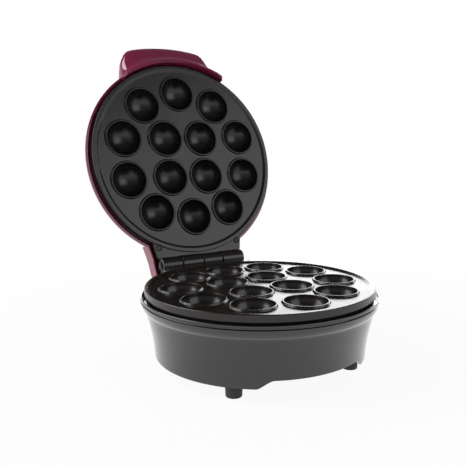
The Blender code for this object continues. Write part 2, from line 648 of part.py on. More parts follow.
def flank(inset):
    """Return the housing's flank from its bead to its bottom, set in by the wall or not."""
    top = -BODY_LIP_TOP - BODY_BAND - BODY_GROOVE - BODY_BEAD_DROP
    taper = BODY_BEAD_RADIUS - BODY_BOTTOM_RADIUS
    height = BODY_FLOOR - top
    return [(BODY_BEAD_RADIUS - inset - taper * wide, top + height * deep) for wide, deep in FLANK_SHARES]


def block_plan(inset):
    """Return the plan of the housing's rear block, with rounded rear corners."""
    half = BLOCK_HALF_WIDTH - inset
    back = BLOCK_BACK - inset
    corner = BLOCK_CORNER - inset
    outline = [(half, BLOCK_FRONT)]
    for index in range(BLOCK_CORNER_STEPS + 1):
        x, y, _ = polar(corner, 90.0 * index / BLOCK_CORNER_STEPS)
        outline.append((half - corner + x, back - corner + y))
    return outline + [(-x, y) for x, y in reversed(outline)]


def opened(y, z):
    """Return where a point of the shut lid stands with the lid open."""
    angle = math.radians(-HINGE_OPEN_DEGREES)
    y, z = y - HINGE_Y, z - HINGE_Z
    cosine, sine = math.cos(angle), math.sin(angle)
    return (HINGE_Y + y * cosine - z * sine, HINGE_Z + y * sine + z * cosine)


def shelf_outline(wall_radius, upper):
    """Return the section of the ring that a plate's wall rests on, with the web that joins it to a shell."""
    top = -PLATE_DEPTH - FIT
    web = top - SHELF_WEB_DROP
    outline = [(SHELF_RADIUS, top), (SHELF_RADIUS + SHELF_WIDTH, top), (SHELF_RADIUS + SHELF_WIDTH, web),
               (wall_radius, web), (wall_radius, web - SHELF_WEB_THICKNESS), (SHELF_RADIUS, web - SHELF_WEB_THICKNESS)]
    return mirrored(outline, upper)


def neck_posts(upper, far, wall_x):
    """Posts under a plate's neck, each with a rib to the side wall."""
    posts = bmesh.new()
    ribs = bmesh.new()
    near = flip(-PLATE_DEPTH - NECK_POST_GAP, upper)
    for side in (-1, 1):
        rod(NECK_POST_RADIUS, near, far, (side * NECK_SCREW_X, NECK_SCREW_Y, 0.0), "Z", POST_STEPS, posts)
        levels = sorted((near + (far - near) / 4, far - (far - near) / 8))
        ends = sorted((side * NECK_SCREW_X, side * wall_x))
        thick = NECK_RIB_THICKNESS / 2
        block((ends[0], NECK_SCREW_Y - thick, levels[0]), (ends[1], NECK_SCREW_Y + thick, levels[1]), 0.0, ribs)
    return posts, ribs


def neck_bores(upper):
    """Bores for the neck screws in the posts."""
    holes = bmesh.new()
    for side in (-1, 1):
        low = flip(-SPOT_FACE_DEPTH - NECK_SCREW_LENGTH - FIT, upper)
        high = flip(-PLATE_DEPTH + OVERRUN, upper)
        rod(SCREW_SHANK_RADIUS + FIT, low, high, (side * NECK_SCREW_X, NECK_SCREW_Y, 0.0), "Z", SMALL_STEPS, holes)
    return holes


def panel_post_places():
    """Return where the bottom cover's screws go."""
    wall = BODY_BOTTOM_RADIUS - BODY_WALL
    return [polar(wall - SCREW_HEAD_RADIUS - FIT, degrees) for degrees in PANEL_POST_DEGREES]


def base_housing(holder):
    """Moulded housing: tapered round shell, rear block, shelf for the plate, posts, stops and front arch."""
    lip_top = -BODY_LIP_TOP
    band = lip_top - BODY_BAND
    groove = band - BODY_GROOVE
    waist = BODY_RIM_RADIUS - BODY_GROOVE_DEPTH
    outline = [(0.0, lip_top), (BODY_RIM_RADIUS, lip_top), (BODY_RIM_RADIUS, band), (waist, band - BODY_BEAD_DROP / 2),
               (waist, groove)] + flank(0.0) + [(0.0, BODY_FLOOR)]
    piece = add_piece("base_housing", turned(outline, ROUND_STEPS), "black_gloss", holder)
    combine(piece, slab(block_plan(0.0), BODY_FLOOR, lip_top), "UNION")

    inner = flank(BODY_WALL)[2::2]
    mouth = BODY_RIM_RADIUS - BODY_LIP_WIDTH
    seat = BODY_RIM_RADIUS - BODY_WALL
    outline = [(0.0, lip_top + OVERRUN), (mouth, lip_top + OVERRUN), (mouth, band + BODY_LIP_WIDTH), (seat, band),
               (seat, groove)] + inner + [(inner[-1][0], BODY_FLOOR - OVERRUN), (0.0, BODY_FLOOR - OVERRUN)]
    hollow = add_piece("base_housing_hollow", turned(outline, ROUND_STEPS), None, holder)
    combine(hollow, slab(block_plan(BODY_WALL), BODY_FLOOR - 2 * OVERRUN, lip_top + 2 * OVERRUN), "UNION")
    apply_tool(piece, hollow, "DIFFERENCE")

    combine(piece, turned(shelf_outline(seat + BODY_WALL / 4, False), ROUND_STEPS), "UNION")
    far = -SPOT_FACE_DEPTH - NECK_SCREW_LENGTH - NECK_POST_RADIUS
    posts, ribs = neck_posts(False, far, BLOCK_HALF_WIDTH - BODY_WALL / 2)
    combine(piece, posts, "UNION")
    combine(piece, ribs, "UNION")
    low = PANEL_TOP + FIT
    posts = bmesh.new()
    for place in panel_post_places():
        rod(PANEL_POST_RADIUS, low, low + PANEL_POST_HEIGHT, place, "Z", POST_STEPS, posts)
    combine(piece, posts, "UNION")
    stops = bmesh.new()
    tip, level = opened(TAIL_BACK, LID_RIM)
    for side in (-1, 1):
        block((side * STOP_X - STOP_WIDTH / 2, BLOCK_BACK - BODY_WALL / 2, level - STOP_HEIGHT / 2),
              (side * STOP_X + STOP_WIDTH / 2, tip - FIT, level + STOP_HEIGHT / 2), 0.0, stops)
    combine(piece, stops, "UNION")

    holes = neck_bores(False)
    for place in panel_post_places():
        rod(SCREW_SHANK_RADIUS + FIT, low - OVERRUN, low + COVER_SCREW_LENGTH, place, "Z", POST_STEPS, holes)
    rod(BUSHING_BODY + FIT, -BODY_WALL - OVERRUN, OVERRUN, (0.0, BLOCK_BACK, -BUSHING_DROP), "Y", SMALL_STEPS, holes)
    combine(piece, holes, "DIFFERENCE")
    rings = []
    inside = BODY_BOTTOM_RADIUS - BODY_WALL - OVERRUN
    outside = BODY_BEAD_RADIUS
    for angle, lift in edge_columns(ARCH_HALF_DEGREES, BODY_BOTTOM_RADIUS, ARCH_CORNER):
        top = BODY_FLOOR + ARCH_HEIGHT - lift * (1 - FIT / ARCH_CORNER)
        low = BODY_FLOOR - OVERRUN
        rings.append([front_point(inside, angle, low), front_point(outside, angle, low),
                      front_point(outside, angle, top), front_point(inside, angle, top)])
    combine(piece, loft(rings), "DIFFERENCE")
    return piece


def panel_plan():
    """Return the bottom cover's plan: a disc with the rear block's tongue."""
    half = BLOCK_HALF_WIDTH - BODY_WALL - FIT
    back = BLOCK_BACK - BODY_WALL - FIT
    radius = BODY_BOTTOM_RADIUS - BODY_WALL - FIT
    start = math.degrees(math.acos(half / radius))
    sweep = (180.0 + 2 * start) / PANEL_STEPS
    outline = [polar(radius, start - sweep * index)[:2] for index in range(PANEL_STEPS + 1)]
    corner = BLOCK_CORNER
    return outline + [(-half, back - corner), (-half + corner, back), (half - corner, back), (half, back - corner)]


def foot_places():
    """Return the four feet's names and places."""
    places = {}
    for side, word in SIDES:
        places["foot_front_" + word] = (side * FRONT_FOOT_X, FRONT_FOOT_Y)
        places["foot_rear_" + word] = (side * REAR_FOOT_X, REAR_FOOT_Y)
    return places


def bottom_cover(holder):
    """Flat panel that closes the housing, with vents and holes for the feet and screws."""
    piece = add_piece("bottom_cover", slab(panel_plan(), PANEL_FACE, PANEL_TOP), "black_plastic", holder)
    holes = bmesh.new()
    low, high = PANEL_FACE - OVERRUN, PANEL_TOP + OVERRUN
    for x, y, _ in panel_post_places():
        rod(SCREW_SHANK_RADIUS + FIT, low, high, (x, y, 0.0), "Z", POST_STEPS, holes)
    for x, y in foot_places().values():
        rod(FOOT_STEM_RADIUS + FIT, low, high, (x, y, 0.0), "Z", SMALL_STEPS, holes)
    for index in range(VENT_COUNT):
        y = (index - (VENT_COUNT - 1) / 2) * VENT_PITCH
        corner = (VENT_LENGTH / 2, y + VENT_WIDTH / 2, high)
        block((-VENT_LENGTH / 2, y - VENT_WIDTH / 2, low), corner, 0.0, holes)
    combine(piece, holes, "DIFFERENCE")


def foot(name, place, holder):
    """Rubber foot with a stem and a head that holds it in the bottom cover."""
    floor = -FLOOR_DROP
    seat = PANEL_FACE - FIT
    head = PANEL_TOP + FIT
    outline = [(0.0, floor), (FOOT_RADIUS - FOOT_EDGE, floor), (FOOT_RADIUS, floor + FOOT_EDGE),
               (FOOT_TOP_RADIUS, seat), (FOOT_STEM_RADIUS, seat), (FOOT_STEM_RADIUS, head), (FOOT_HEAD_RADIUS, head),
               (FOOT_STEM_RADIUS, head + FOOT_HEAD_HEIGHT), (0.0, head + FOOT_HEAD_HEIGHT)]
    add_piece(name, turned(outline, SMALL_STEPS, "Z", (*place, 0.0)), "rubber", holder)


def screws(name, places, length, holder, up=False, cross=False, shank=SCREW_SHANK_RADIUS):
    """Pan-head screws, one object each, seated at their places and pointing down or up."""
    sign = -1 if up else 1
    head = shank * SCREW_HEAD_RADIUS / SCREW_SHANK_RADIUS
    rim = [(head, SCREW_HEAD_HEIGHT)]
    if cross:
        wide, high = SCREW_DOME_SHARES
        rim = [(head * wide, SCREW_HEAD_HEIGHT), (head, SCREW_HEAD_HEIGHT * high)]
    outline = [(0.0, SCREW_HEAD_HEIGHT)] + rim + [(head, 0.0), (shank, 0.0), (shank, -length), (0.0, -length)]
    outline = [(radius, sign * height) for radius, height in outline]
    for index, place in enumerate(places):
        own_name = f"{name}_{index + 1}" if len(places) > 1 else name
        steps = SMALL_STEPS if cross else POST_STEPS
        piece = add_piece(own_name, turned(outline, steps, "Z", place), "steel", holder)
        if cross:
            cut_cross(piece, place, sign, head)


def cut_cross(piece, place, sign, head):
    """Cut a cross recess in a screw's head."""
    x, y, z = place
    arms = bmesh.new()
    reach = head * SCREW_RECESS_SHARE
    half = SCREW_RECESS_WIDTH / 2
    depths = (SCREW_HEAD_HEIGHT - SCREW_RECESS_DEPTH, SCREW_HEAD_HEIGHT + OVERRUN)
    low, high = sorted(z + sign * depth for depth in depths)
    block((x - reach, y - half, low), (x + reach, y + half, high), 0.0, arms)
    block((x - half, y - reach, low), (x + half, y + reach, high), 0.0, arms)
    combine(piece, arms, "DIFFERENCE", overlapping=True)


def element_end(side):
    """Return the plan place of an end of a heating element."""
    return polar(ELEMENT_RING_RADIUS, 90.0 + side * ELEMENT_OPENING_DEGREES / 2)[:2]


def heat_shield(name, upper, holder):
    """Pressed disc with a raised ring under the element, an edge lip and its holes."""
    top = -SHIELD_DEPTH
    ridge_top = -ELEMENT_DEPTH - ELEMENT_RADIUS - FIT
    start = 0.0 if upper else THERMOSTAT_BODY_RADIUS + FIT
    inner = ELEMENT_RING_RADIUS - SHIELD_RIDGE_HALF
    outer = ELEMENT_RING_RADIUS + SHIELD_RIDGE_HALF
    slope = SHIELD_RIDGE_HALF / 2
    face = [(start, top), (inner, top), (inner + slope, ridge_top), (outer - slope, ridge_top), (outer, top),
            (SHIELD_RADIUS - SHIELD_THICKNESS, top), (SHIELD_RADIUS - SHIELD_THICKNESS, top + SHIELD_LIP)]
    back = [(SHIELD_RADIUS, top + SHIELD_LIP), (SHIELD_RADIUS, top - SHIELD_THICKNESS), (outer, top - SHIELD_THICKNESS),
            (outer - slope, ridge_top - SHIELD_THICKNESS), (inner + slope, ridge_top - SHIELD_THICKNESS),
            (inner, top - SHIELD_THICKNESS), (start, top - SHIELD_THICKNESS)]
    piece = add_piece(name, turned(mirrored(face + back, upper), SHIELD_STEPS), "aluminium", holder)
    bore = SCREW_SHANK_RADIUS + FIT
    spots = [(*polar(SHIELD_BOSS_PLACE, degrees)[:2], bore) for degrees in SHIELD_BOSS_DEGREES]
    spots += [(*element_end(side), ELEMENT_RADIUS + BUSH_WALL + BUSH_HOLE_GAP) for side in (-1, 1)]
    if not upper:
        spots += [(side * THERMOSTAT_SCREW_X, 0.0, bore) for side in (-1, 1)]
        spots.append((0.0, FUSE_Y + CLIP_EAR - SCREW_HEAD_RADIUS, bore))
    holes = bmesh.new()
    for x, y, radius in spots:
        low, high = sorted((flip(top - SHIELD_THICKNESS - OVERRUN, upper), flip(ridge_top + OVERRUN / 4, upper)))
        rod(radius, low, high, (x, y, 0.0), "Z", POST_STEPS if radius == bore else SMALL_STEPS, holes)
    combine(piece, holes, "DIFFERENCE")


def tube(name, route, radius, coat, holder, resolution=2):
    """Round bar or lead along a route of points, with closed ends."""
    data = bpy.data.curves.new(name, "CURVE")
    data.dimensions = "3D"
    data.bevel_depth = radius
    data.bevel_resolution = resolution
    data.use_fill_caps = True
    data.twist_mode = "MINIMUM"
    spline = data.splines.new("POLY")
    spline.points.add(len(route) - 1)
    for point, place in zip(spline.points, route):
        point.co = (*place, 1.0)
    data.materials.append(finish(coat))
    item = bpy.data.objects.new(name, data)
    bpy.context.collection.objects.link(item)
    item.parent = holder["empty"]
    item.location = holder["offset"]


def heating_element(name, upper, holder):
    """Sheathed heater bent to an open ring, with both ends turned away from the plate."""
    half = ELEMENT_OPENING_DEGREES / 2
    bend = math.degrees(ELEMENT_BEND / ELEMENT_RING_RADIUS)
    first, last = 90.0 + half + bend, 450.0 - half - bend
    step = (last - first) / ELEMENT_STEPS
    ring = [polar(ELEMENT_RING_RADIUS, first + step * index, -ELEMENT_DEPTH) for index in range(ELEMENT_STEPS + 1)]
    ends = {}
    for side in (-1, 1):
        end = []
        for index in range(1, ELEMENT_BEND_STEPS + 1):
            angle = math.radians(90.0 * index / ELEMENT_BEND_STEPS)
            along = 90.0 + side * (half + bend * (1 - math.sin(angle)))
            end.append(polar(ELEMENT_RING_RADIUS, along, -ELEMENT_DEPTH - ELEMENT_BEND * (1 - math.cos(angle))))
        end.append(polar(ELEMENT_RING_RADIUS, 90.0 + side * half, -ELEMENT_DEPTH - ELEMENT_BEND - ELEMENT_LEG))
        ends[side] = end
    route = list(reversed(ends[1])) + ring + ends[-1]
    tube(name, [(x, y, flip(z, upper)) for x, y, z in route], ELEMENT_RADIUS, "sheath", holder)


def element_bushes(name, upper, holder):
    """Ceramic bushes round the ends of a heating element, seated in its shield."""
    inner = ELEMENT_RADIUS + FIT
    outer = ELEMENT_RADIUS + BUSH_WALL
    seat = -SHIELD_DEPTH - SHIELD_THICKNESS - FIT
    outline = [(inner, seat), (outer + BUSH_FLANGE, seat), (outer + BUSH_FLANGE, seat - BUSH_FLANGE_THICKNESS),
               (outer, seat - BUSH_FLANGE_THICKNESS), (outer, seat - BUSH_BODY_LENGTH), (inner, seat - BUSH_BODY_LENGTH)]
    for side, word in SIDES:
        bm = turned(mirrored(outline, upper), SMALL_STEPS, "Z", (*element_end(-side), 0.0))
        add_piece(f"{name}_{word}", bm, "ceramic", holder)


def thermostat(holder):
    """Disc thermostat whose cap touches the middle boss of the plate, with ears screwed to the shield."""
    cap = -CENTRE_BOSS_DEPTH - FIT
    shoulder = cap - THERMOSTAT_SHOULDER
    bottom = cap - THERMOSTAT_HEIGHT
    outline = [(0.0, cap), (THERMOSTAT_RADIUS, cap), (THERMOSTAT_BODY_RADIUS, shoulder),
               (THERMOSTAT_BODY_RADIUS, bottom), (0.0, bottom)]
    piece = add_piece("thermostat", turned(outline, SMALL_STEPS), "black_plastic", holder)
    top = -SHIELD_DEPTH - SHIELD_THICKNESS - FIT
    half = THERMOSTAT_EAR_WIDTH / 2
    low = top - THERMOSTAT_EAR_THICKNESS
    ears = block((-THERMOSTAT_EAR_HALF, -half, low), (THERMOSTAT_EAR_HALF, half, top))
    combine(piece, ears, "UNION")
    tabs = bmesh.new()
    for side in (-1, 1):
        x = side * THERMOSTAT_RADIUS / 2
        wide = THERMOSTAT_TAB_WIDTH / 2
        block((x - FIT, -wide, bottom - THERMOSTAT_TAB_LENGTH), (x + FIT, wide, bottom + FIT), 0.0, tabs)
    combine(piece, tabs, "UNION")
    holes = bmesh.new()
    for side in (-1, 1):
        place = (side * THERMOSTAT_SCREW_X, 0.0, 0.0)
        rod(SCREW_SHANK_RADIUS + FIT, low - OVERRUN, top + OVERRUN, place, "Z", POST_STEPS, holes)
    combine(piece, holes, "DIFFERENCE")


def fuse_and_clip(holder):
    """Thermal fuse in its sleeve, strapped to the shield by a clip."""
    under = -SHIELD_DEPTH - SHIELD_THICKNESS - FIT
    height = under - FUSE_RADIUS - FIT
    fuse = rod(FUSE_RADIUS, -FUSE_LENGTH / 2, FUSE_LENGTH / 2, (0.0, FUSE_Y, height), "X")
    add_piece("thermal_fuse", fuse, "lead_cover", holder)
    inner, outer = FUSE_RADIUS + FIT, FUSE_RADIUS + FIT + CLIP_THICKNESS
    section = [(CLIP_EAR, under), (inner, under), (inner, height)]
    under_degrees = (-45.0, -90.0, -135.0)
    section += [(x, height + y) for x, y, _ in (polar(inner, degrees) for degrees in under_degrees)]
    section += [(-inner, height), (-inner, under), (-outer, under), (-outer, height)]
    section += [(x, height + y) for x, y, _ in (polar(outer, degrees) for degrees in reversed(under_degrees))]
    section += [(outer, height), (outer, under - CLIP_THICKNESS), (CLIP_EAR, under - CLIP_THICKNESS)]
    bm = bmesh.new()
    face = bm.faces.new([bm.verts.new((-CLIP_WIDTH / 2, FUSE_Y + y, z)) for y, z in section])
    made = bmesh.ops.extrude_face_region(bm, geom=[face])
    far = [part for part in made["geom"] if isinstance(part, bmesh.types.BMVert)]
    bmesh.ops.translate(bm, vec=(CLIP_WIDTH, 0.0, 0.0), verts=far)
    piece = add_piece("fuse_clip", bm, "steel", holder)
    spot = (0.0, FUSE_Y + CLIP_EAR - SCREW_HEAD_RADIUS, 0.0)
    bore = rod(SCREW_SHANK_RADIUS + FIT, under - OVERRUN, under + OVERRUN, spot, "Z", POST_STEPS)
    combine(piece, bore, "DIFFERENCE")
    seat = under - CLIP_THICKNESS - FIT
    screws("fuse_clip_screw", [(spot[0], spot[1], seat)], SHORT_SCREW_LENGTH, holder, up=True)


def terminal_block(holder):
    """Three-way terminal block on the bottom cover, with its clamp screws."""
    half, depth = TERMINAL_WIDTH / 2, TERMINAL_LENGTH / 2
    low = PANEL_TOP + FIT
    top = low + TERMINAL_HEIGHT
    body = block((-half, TERMINAL_Y - depth, low), (half, TERMINAL_Y + depth, top))
    piece = add_piece("terminal_block", body, "black_plastic", holder)
    holes = bmesh.new()
    wells = bmesh.new()
    for index in (-1, 0, 1):
        x = index * TERMINAL_PITCH
        bore_z = low + TERMINAL_BORE_RISE
        rod(TERMINAL_BORE, -depth - OVERRUN, depth + OVERRUN, (x, TERMINAL_Y, bore_z), "Y", POST_STEPS, holes)
        rod(TERMINAL_BORE + FIT, bore_z, top + OVERRUN, (x, TERMINAL_Y, 0.0), "Z", POST_STEPS, wells)
    combine(piece, holes, "DIFFERENCE")
    combine(piece, wells, "DIFFERENCE")
    for index in (-1, 0, 1):
        place = (index * TERMINAL_PITCH, TERMINAL_Y, 0.0)
        clamp = rod(TERMINAL_BORE, low + TERMINAL_BORE_RISE + TERMINAL_BORE, top - FIT, place, "Z", POST_STEPS)
        add_piece(f"terminal_screw_{index + 2}", clamp, "steel", holder)


def smooth_route(points, steps):
    """Return a smooth run of points through the given ones."""
    vectors = [Vector(point) for point in points]
    ends = [2 * vectors[0] - vectors[1]] + vectors + [2 * vectors[-1] - vectors[-2]]
    route = []
    for index in range(1, len(ends) - 2):
        a, b, c, d = ends[index - 1:index + 3]
        for step in range(steps):
            t = step / steps
            bend = (2 * a - 5 * b + 4 * c - d) * t * t
            route.append((2 * b + (c - a) * t + bend + (3 * b - a - 3 * c + d) * t ** 3) / 2)
    return [tuple(point) for point in route + [vectors[-1]]]


def lower_leads(holder):
    """Leads from the lower element's ends to the terminal block."""
    bore_z = PANEL_TOP + FIT + TERMINAL_BORE_RISE
    front = TERMINAL_Y - TERMINAL_LENGTH / 2
    end_z = -ELEMENT_DEPTH - ELEMENT_BEND - ELEMENT_LEG - FIT
    drop = end_z - bore_z
    for side, word in SIDES:
        x, y = element_end(-side)
        x_bore = side * TERMINAL_PITCH
        inside = front + TERMINAL_LENGTH / 4
        points = [
            (x, y, end_z), (x, y, end_z - drop / 4), ((3 * x + x_bore) / 4, y - TERMINAL_LENGTH / 4, bore_z + drop / 4),
            ((x + 3 * x_bore) / 4, front - LEAD_DIP, bore_z), (x_bore, front - LEAD_RADIUS, bore_z),
            (x_bore, inside, bore_z),
        ]
        tube(f"lower_lead_{word}", smooth_route(points, LEAD_STEPS), LEAD_RADIUS, "lead_cover", holder, 1)


def cord_bushing(holder):
    """Rubber bush in the rear wall of the housing."""
    outside = FIT
    inside = -BODY_WALL - FIT
    thick = BUSHING_FLANGE_THICKNESS
    outline = [
        (BUSHING_BORE, outside + thick), (BUSHING_FLANGE, outside + thick / 2), (BUSHING_FLANGE, outside),
        (BUSHING_BODY, outside), (BUSHING_BODY, inside), (BUSHING_FLANGE, inside), (BUSHING_BODY, inside - thick),
        (BUSHING_BORE, inside - thick),
    ]
    place = (0.0, BLOCK_BACK, -BUSHING_DROP)
    add_piece("cord_bush", turned(outline, SMALL_STEPS, "Y", place), "rubber", holder)


def hinge_pin(holder):
    """Hinge pin with a groove near each end, and the open rings that sit in the grooves."""
    end = HINGE_HALF_LENGTH + PIN_OVERHANG
    groove = PIN_RADIUS - PIN_GROOVE_DEPTH
    near = HINGE_HALF_LENGTH + FIT
    far = near + PIN_RING_THICKNESS + 2 * FIT
    half = [(PIN_RADIUS, near), (groove, near), (groove, far), (PIN_RADIUS, far), (PIN_RADIUS, end), (0.0, end)]
    outline = [(radius, -height) for radius, height in reversed(half)] + half
    place = (0.0, HINGE_Y, HINGE_Z)
    add_piece("hinge_pin", turned(outline, SMALL_STEPS, "X", place), "steel", holder)
    gap = PIN_RING_OPENING_DEGREES / 2
    radii = (groove + FIT, groove + FIT + PIN_RING_WIDTH)
    for side, word in SIDES:
        low = side * (near + FIT)
        high = side * (near + FIT + PIN_RING_THICKNESS)
        rings = []
        for index in range(RING_STEPS + 1):
            degrees = gap + (360.0 - 2 * gap) * index / RING_STEPS
            (y_in, z_in, _), (y_out, z_out, _) = (polar(radius, degrees) for radius in radii)
            corners = ((low, y_in, z_in), (low, y_out, z_out), (high, y_out, z_out), (high, y_in, z_in))
            rings.append([(x, HINGE_Y + y, HINGE_Z + z) for x, y, z in corners])
        add_piece(f"hinge_pin_ring_{word}", loft(rings), "steel", holder)


def dome_height(radius):
    """Return the height of the lid's dome at a radius, above the rim of the lower plate with the lid shut."""
    rise = LID_HEIGHT - LID_RIM
    points = [(LID_RADIUS * wide, LID_RIM + rise * high) for wide, high in DOME_SHARES] + [(0.0, LID_HEIGHT)]
    for (outer, low), (inner, high) in zip(points, points[1:]):
        if inner <= radius <= outer:
            return low + (high - low) * (outer - radius) / (outer - inner)
    return LID_RIM


def handle_reach(angle):
    """Return how far the handle's plan reaches from the centre, at an angle from the front."""
    points = [(HANDLE_SIDE_HALF * wide, HANDLE_REACH * deep) for wide, deep in HANDLE_PLAN_SHARES]
    spots = [(math.atan2(x, y), math.hypot(x, y)) for x, y in points]
    for (near, before), (far, after) in zip(spots, spots[1:]):
        if near <= abs(angle) <= far:
            return before + (after - before) * (abs(angle) - near) / (far - near)
    return BROW_RADIUS


def handle_form():
    """Brow and handle of the lid as one solid, from the brow's rounded lower edge up to the dome."""
    rings = []
    for angle, lift in edge_columns(BROW_HALF_DEGREES, BROW_RADIUS, BROW_CORNER):
        low = -BROW_DROP + lift
        reach = handle_reach(angle) - BROW_RADIUS
        ring = [front_point(BROW_INNER_RADIUS, angle, low)]
        for wide, high in HANDLE_SHARES:
            ring.append(front_point(BROW_RADIUS + reach * wide, angle, low + (HANDLE_TOP - low) * high))
        inside = LID_RIM + OVERRUN
        ring += [front_point(HANDLE_ROOT_RADIUS, angle, HANDLE_TOP), front_point(HANDLE_ROOT_RADIUS, angle, inside),
                 front_point(BROW_INNER_RADIUS, angle, inside)]
        rings.append(ring)
    return loft(rings)


def handle_hollow():
    """Hollow of the handle, open to the inside of the dome."""
    rings = []
    root = HANDLE_ROOT_RADIUS + OVERRUN
    height = HANDLE_TOP + BROW_DROP
    for index in range(HOLLOW_STEPS + 1):
        angle = math.radians(HANDLE_HOLLOW_HALF_DEGREES * (2 * index / HOLLOW_STEPS - 1))
        reach = handle_reach(angle) - BROW_RADIUS
        spots = [(BROW_RADIUS + reach * wide, -BROW_DROP + height * high) for wide, high in HANDLE_HOLLOW_SHARES]
        spots = [(root, spots[0][1])] + spots + [(root, spots[-1][1])]
        rings.append([front_point(radius, angle, z) for radius, z in spots])
    return loft(rings)


def tail_form(inset, low):
    """Rear box of the lid over the hinge, with rounded top edges, full size or set in by the wall."""
    length = TAIL_BACK - TAIL_FRONT
    step = TAIL_FRONT_HALF - TAIL_BACK_HALF
    side = TAIL_BACK_HALF - inset
    half = [(side + step * wide, TAIL_FRONT + (length - inset) * deep) for wide, deep in TAIL_PLAN_SHARES]
    outline = half + [(-x, y) for x, y in reversed(half)]
    top = TAIL_TOP - inset
    bm = slab(outline, low, top)
    edges = [edge for edge in bm.edges if all(abs(vert.co.z - top) < MERGE for vert in edge.verts)]
    edges = [edge for edge in edges if any(vert.co.y > TAIL_FRONT + MERGE for vert in edge.verts)]
    bmesh.ops.bevel(bm, geom=edges, offset=TAIL_EDGE, segments=TAIL_EDGE_STEPS, profile=1 / 2, affect="EDGES")
    return bm


def lamp_spots():
    """Return the plan places of the two lamps."""
    return {"power_lens": (-LAMP_X, LAMP_Y), "ready_lens": (LAMP_X, LAMP_Y)}


def board_levels():
    """Return the lower and upper face of the lamp board."""
    low = flip(-SHIELD_DEPTH - SHIELD_THICKNESS, True) + LAMP_BOARD_RISE
    return low, low + LAMP_BOARD_THICKNESS


def lid_cover(holder):
    """Moulded lid: domed shell with brow, handle and rear box, a shelf for the plate and posts."""
    rise = LID_HEIGHT - LID_RIM
    outer = [(LID_RADIUS * wide, LID_RIM + rise * high) for wide, high in DOME_SHARES]
    outline = [(0.0, LID_RIM)] + outer + [(0.0, LID_HEIGHT)]
    piece = add_piece("lid_cover", turned(outline, ROUND_STEPS), "burgundy_gloss", holder)
    combine(piece, handle_form(), "UNION")
    combine(piece, tail_form(0.0, LID_RIM), "UNION")
    scale = (LID_RADIUS - LID_WALL) / LID_RADIUS
    inner = [(radius * scale, height - LID_WALL) for radius, height in outer[1::2]]
    outline = [(0.0, LID_RIM - OVERRUN), (inner[0][0], LID_RIM - OVERRUN)] + inner + [(0.0, LID_HEIGHT - LID_WALL)]
    combine(piece, turned(outline, ROUND_STEPS), "DIFFERENCE")
    combine(piece, tail_form(LID_WALL, LID_RIM - OVERRUN), "DIFFERENCE")
    combine(piece, handle_hollow(), "DIFFERENCE")
    combine(piece, turned(shelf_outline(inner[0][0] + LID_WALL / 4, True), ROUND_STEPS), "UNION")
    posts, ribs = neck_posts(True, TAIL_TOP - LID_WALL / 2, TAIL_BACK_HALF + LID_WALL / 2)
    combine(piece, posts, "UNION")
    combine(piece, ribs, "UNION")
    low, high = board_levels()
    posts = bmesh.new()
    for side in (-1, 1):
        x = side * LAMP_POST_X
        top = dome_height(math.hypot(x, LAMP_Y)) - LID_WALL / 2
        rod(LAMP_POST_RADIUS, high + FIT, top, (x, LAMP_Y, 0.0), "Z", POST_STEPS, posts)
    combine(piece, posts, "UNION")
    holes = neck_bores(True)
    for x, y in lamp_spots().values():
        rod(LAMP_RADIUS + FIT, high, LID_HEIGHT + OVERRUN, (x, y, 0.0), "Z", SMALL_STEPS, holes)
    for side in (-1, 1):
        place = (side * LAMP_POST_X, LAMP_Y, 0.0)
        rod(LAMP_POST_RADIUS / 2, high, low + LAMP_SCREW_LENGTH, place, "Z", POST_STEPS, holes)
    combine(piece, holes, "DIFFERENCE")


def lamps(holder):
    """Two lenses through the dome, and the lamp board behind them with its screws."""
    low, high = board_levels()
    for (name, (x, y)), coat in zip(lamp_spots().items(), ("red_lens", "green_lens")):
        flange = LAMP_RADIUS + LAMP_FLANGE
        seat = dome_height(math.hypot(x, y) + flange) - LID_WALL - 2 * FIT
        top = dome_height(math.hypot(x, y)) + LAMP_PROUD
        outline = [(0.0, seat - LAMP_FLANGE), (flange, seat - LAMP_FLANGE), (flange, seat), (LAMP_RADIUS, seat),
                   (LAMP_RADIUS, top - LAMP_PROUD / 2), (LAMP_RADIUS * LAMP_CROWN_SHARE, top), (0.0, top)]
        add_piece(name, turned(outline, SMALL_STEPS, "Z", (x, y, 0.0)), coat, holder)
    half, depth = LAMP_BOARD_WIDTH / 2, LAMP_BOARD_LENGTH / 2
    board = block((-half, LAMP_Y - depth, low), (half, LAMP_Y + depth, high))
    piece = add_piece("lamp_board", board, "board", holder)
    holes = bmesh.new()
    for side in (-1, 1):
        place = (side * LAMP_POST_X, LAMP_Y, 0.0)
        rod(LAMP_POST_RADIUS / 2, low - OVERRUN, high + OVERRUN, place, "Z", POST_STEPS, holes)
    combine(piece, holes, "DIFFERENCE")


def upper_leads(holder):
    """Leads from the upper element's ends, over the shield, to the lamp board."""
    low, high = board_levels()
    for side, word in SIDES:
        x, y = element_end(-side)
        start = flip(-ELEMENT_DEPTH - ELEMENT_BEND - ELEMENT_LEG - 2 * FIT, True)
        level = high + 2 * LEAD_RADIUS
        x_end = side * LAMP_X / 4
        y_end = LAMP_Y + LAMP_BOARD_LENGTH / 4
        points = [
            (x, y, start), (x, y, start + LEAD_RADIUS / 2), (x, y - 2 * LEAD_RADIUS, level), (x, y / 2, level),
            (x, -y / 2, level), ((x + 3 * x_end) / 4, y_end / 2 - y / 2, level),
            (x_end, y_end, high + LEAD_RADIUS + FIT),
        ]
        tube(f"upper_lead_{word}", smooth_route(points, LEAD_STEPS), LEAD_RADIUS, "lead_cover", holder, 1)


